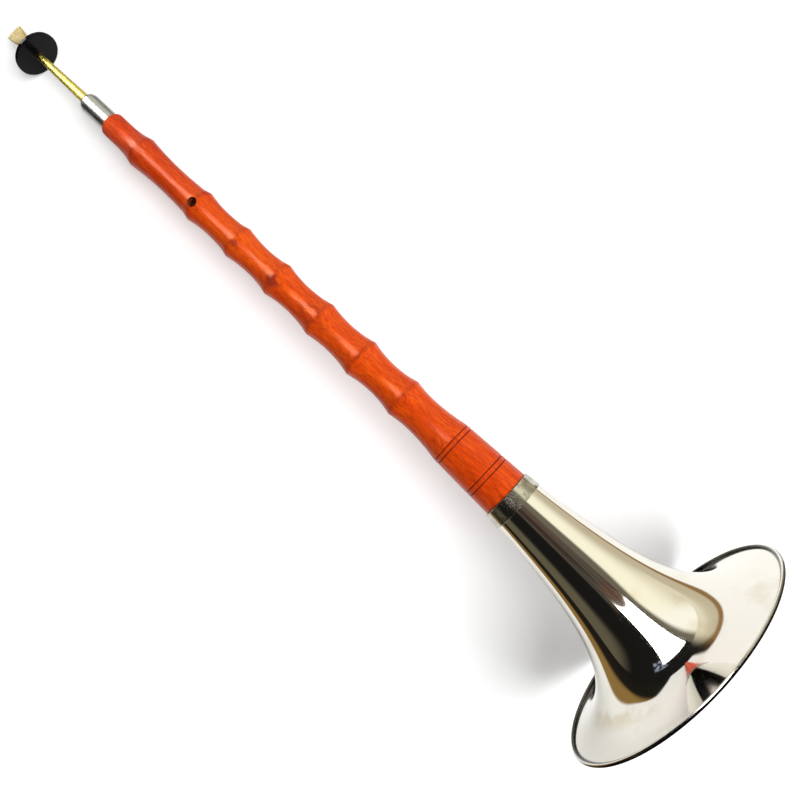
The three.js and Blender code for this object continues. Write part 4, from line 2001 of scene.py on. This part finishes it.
@dataclass
class MirroredRoom:
    """A dome that only reflections see: a window, a pale wall and unlit parts.

    Its zones are soft steps on the direction from the dome's middle: x along the part, y
    across it and z up, each from -1 to 1.
    """

    radius: float = 3.0
    middle: Place = (0.2, 0.0, 0.05)
    lowest_degrees: float = -20.0
    highest_degrees: float = 89.9
    rows: int = 24
    columns: int = 64
    window_level: float = 16.0
    window_middle: float = -0.006
    window_half_width: Zone = (0.21, 0.232)
    window_sill: Zone = (0.11, 0.135)
    window_head: Zone = (0.87, 0.895)
    window_side: Zone = (-0.2, -0.15)
    wall_corner: Slant = (-0.5, -0.12, 0.0, 0.2)
    wall_start: Zone = (0.32, 0.44)
    wall_foot: Zone = (-0.25, -0.05)
    wall_height: Zone = (0.0, 0.6)
    wall_near_window: Zone = (-0.75, -0.45)
    wall_foot_dim: Colour = (0.62, 0.55, 0.41)
    wall_foot_lit: Colour = (0.82, 0.77, 0.6)
    wall_top: Colour = (1.1, 1.06, 0.88)
    wall_by_window: Colour = (1.12, 1.1, 1.02)
    curtain: Colour = tone(112, 106, 94)
    curtain_start: Zone = (0.225, 0.26)
    curtain_end: Zone = (-0.04, 0.02)
    unlit: Colour = tone(26, 25, 24)
    beam: Colour = tone(100, 93, 84)
    warm_beam: Colour = tone(118, 88, 74)
    beam_grain: Place = (3.0, 22.0, 3.0)
    beam_share: Zone = (0.3, 0.62)
    beam_start: Zone = (-0.46, -0.44)
    beam_side: Zone = (-0.42, -0.26)
    warm_grain: Place = (9.0, 6.0, 3.0)
    warm_share: Zone = (0.42, 0.6)
    shelf: Colour = tone(150, 158, 182)
    shelf_left: Zone = (-0.4, -0.37)
    shelf_right: Zone = (-0.2, -0.17)
    shelf_board: Zone = (0.03, 0.05)
    shelf_top: Zone = (0.2, 0.24)
    shelf_depth: Zone = (-0.8, -0.7)
    shelf_grain: Place = (4.0, 26.0, 30.0)
    shelf_share: Zone = (0.45, 0.55)
    corner: Colour = tone(98, 92, 76)
    corner_start: Zone = (0.72, 0.95)
    corner_height: Zone = (0.3, 0.55)
    far_end: Colour = tone(60, 58, 56)
    far_end_start: Zone = (0.02, 0.14)
    second_bounce: float = 0.06

    def build(self) -> None:
        """Puts the dome round the table."""
        material = bpy.data.materials.new("mirrored_room")
        material.use_nodes = True
        tree = NodeTree(material.node_tree)
        spot = tree.add("ShaderNodeTexCoord").outputs["Object"]
        away = tree.vector("NORMALIZE", tree.vector("SUBTRACT", spot, self.middle))
        colour, level = self._view(tree, away)
        bounces = Value(tree, tree.add("ShaderNodeLightPath").outputs["Ray Depth"])
        level = level * bounces.span(1.0, 2.0, 1.0, self.second_bounce)
        glow = tree.add("ShaderNodeEmission", inputs={"Color": colour, "Strength": level})
        tree.add("ShaderNodeOutputMaterial", inputs={"Surface": glow.outputs[0]})
        mesh = self._dome()
        mesh.materials.append(material)
        room = link("mirrored_room", mesh)
        room.visible_camera = room.visible_diffuse = room.visible_transmission = False
        room.visible_shadow = False

    def _dome(self) -> bpy.types.Mesh:
        """The dome's mesh, closed at its top.

        Returns:
            The mesh, in the part's frame.
        """
        rows, columns = self.rows, self.columns
        shares = [i / rows for i in range(rows + 1)]
        degrees = [lerp(self.lowest_degrees, self.highest_degrees, share) for share in shares]
        points = [
            (
                self.middle[0] + self.radius * math.cos(height) * math.cos(turn),
                self.middle[1] + self.radius * math.cos(height) * math.sin(turn),
                self.middle[2] + self.radius * math.sin(height),
            )
            for height in map(math.radians, degrees)
            for turn in (j / columns * FULL_TURN for j in range(columns))
        ]
        faces = []
        for i in range(rows):
            here, there = i * columns, (i + 1) * columns
            for j in range(columns):
                k = (j + 1) % columns
                faces.append((here + j, here + k, there + k, there + j))
        faces.append(tuple(rows * columns + j for j in range(columns)))
        mesh = bpy.data.meshes.new("mirrored_room")
        mesh.from_pydata(points, [], faces)
        return mesh

    def _wall(self, tree: NodeTree, x: Value, z: Value) -> Link:
        """The pale wall's colour: brighter upwards and by the window.

        Args:
            tree: the material's tree.
            x: the direction along the part.
            z: the direction upwards.

        Returns:
            The colour.
        """
        foot = tree.mix(x.below(*self.wall_foot), self.wall_foot_dim, self.wall_foot_lit)
        wall = tree.mix(z.above(*self.wall_height), foot, self.wall_top)
        return tree.mix(x.below(*self.wall_near_window), wall, self.wall_by_window)

    def _view(self, tree: NodeTree, away: Link) -> tuple[Link, Value]:
        """What stands in each direction.

        Args:
            tree: the material's tree.
            away: the direction from the dome's middle.

        Returns:
            The colour, and the strength of its light.
        """

        def pattern(grain: Place, detail: float) -> Value:
            """Noise on the direction."""
            return tree.noise(tree.vector("MULTIPLY", away, grain), detail=detail)

        x, y, z = tree.split(away)
        beams = pattern(self.beam_grain, 2.0).above(*self.beam_share)
        beams = x.above(*self.beam_start) * y.above(*self.beam_side) * beams
        warm = pattern(self.warm_grain, 1.0).above(*self.warm_share)
        colour = tree.mix(beams, self.unlit, tree.mix(warm, self.beam, self.warm_beam))

        curtain = y.above(*self.curtain_start) * x.below(*self.curtain_end)
        colour = tree.mix(curtain, colour, self.curtain)
        shelf = y.above(*self.shelf_left) * y.below(*self.shelf_right) * z.above(*self.shelf_board)
        shelf = shelf * z.below(*self.shelf_top) * x.below(*self.shelf_depth)
        things = pattern(self.shelf_grain, 1.0).above(*self.shelf_share)
        colour = tree.mix(shelf * things, colour, self.shelf)
        corner = (-y).above(*self.corner_start) * z.below(*self.corner_height)
        colour = tree.mix(corner, colour, self.corner)
        wall = (y - x.span(*self.wall_corner)).above(*self.wall_start)
        colour = tree.mix(wall, colour, self._wall(tree, x, z))
        colour = tree.mix(x.above(*self.far_end_start), colour, self.far_end)

        window = (y - self.window_middle).size().below(*self.window_half_width)
        window = window * z.above(*self.window_sill) * z.below(*self.window_head)
        window = window * x.below(*self.window_side)
        level = window * (self.window_level - 1) + 1
        return tree.mix(window, colour, (1.0, 1.0, 1.0)), level


@dataclass
class Studio:
    """The white surround, the table, the mirrored room and the lamps."""

    sky: float = 0.1
    lamps: tuple[Lamp, ...] = (
        Lamp("key", (0.82, 0.36, 1.93), (0.0, 0.0, 0.03), (1.15, 1.15), 37.0),
        Lamp("side", (0.05, 0.93, 0.78), (0.0, 0.0, 0.03), (1.2, 1.0), 4.5),
        Lamp("end", (1.0, -0.05, 0.85), (0.1, 0.0, 0.03), (0.4, 0.4), 1.2),
    )

    def build(self) -> None:
        """Sets up everything that stands round the horn."""
        bpy.context.scene.view_settings.view_transform = "Standard"
        self._world()
        Table().build()
        MirroredRoom().build()
        for lamp in self.lamps:
            lamp.build()

    def _world(self) -> None:
        """A white surround; the light it gives to surfaces is softer than it looks."""
        world = bpy.data.worlds.new("surround")
        world.use_nodes = True
        tree = NodeTree(world.node_tree)
        path = tree.add("ShaderNodeLightPath").outputs
        seen = Value(tree, path["Is Camera Ray"]) + Value(tree, path["Is Glossy Ray"])
        seen = (seen + Value(tree, path["Is Transmission Ray"])).limited()
        level = seen * (1 - self.sky) + self.sky
        light = tree.add("ShaderNodeBackground", inputs={"Color": (1, 1, 1), "Strength": level})
        tree.add("ShaderNodeOutputWorld", inputs={"Surface": light.outputs[0]})
        bpy.context.scene.world = world


def main() -> None:
    """Builds the camera, the studio and each sub-assembly in turn."""
    logging.basicConfig(level=logging.INFO, format="%(name)s: %(message)s")
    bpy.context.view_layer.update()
    Viewpoint().build()
    Studio().build()
    for assembly in (TurnedWood(), Staple(), LipDisc(), Reed(), Bell()):
        assembly.build()


if __name__ == "__main__":
    main()
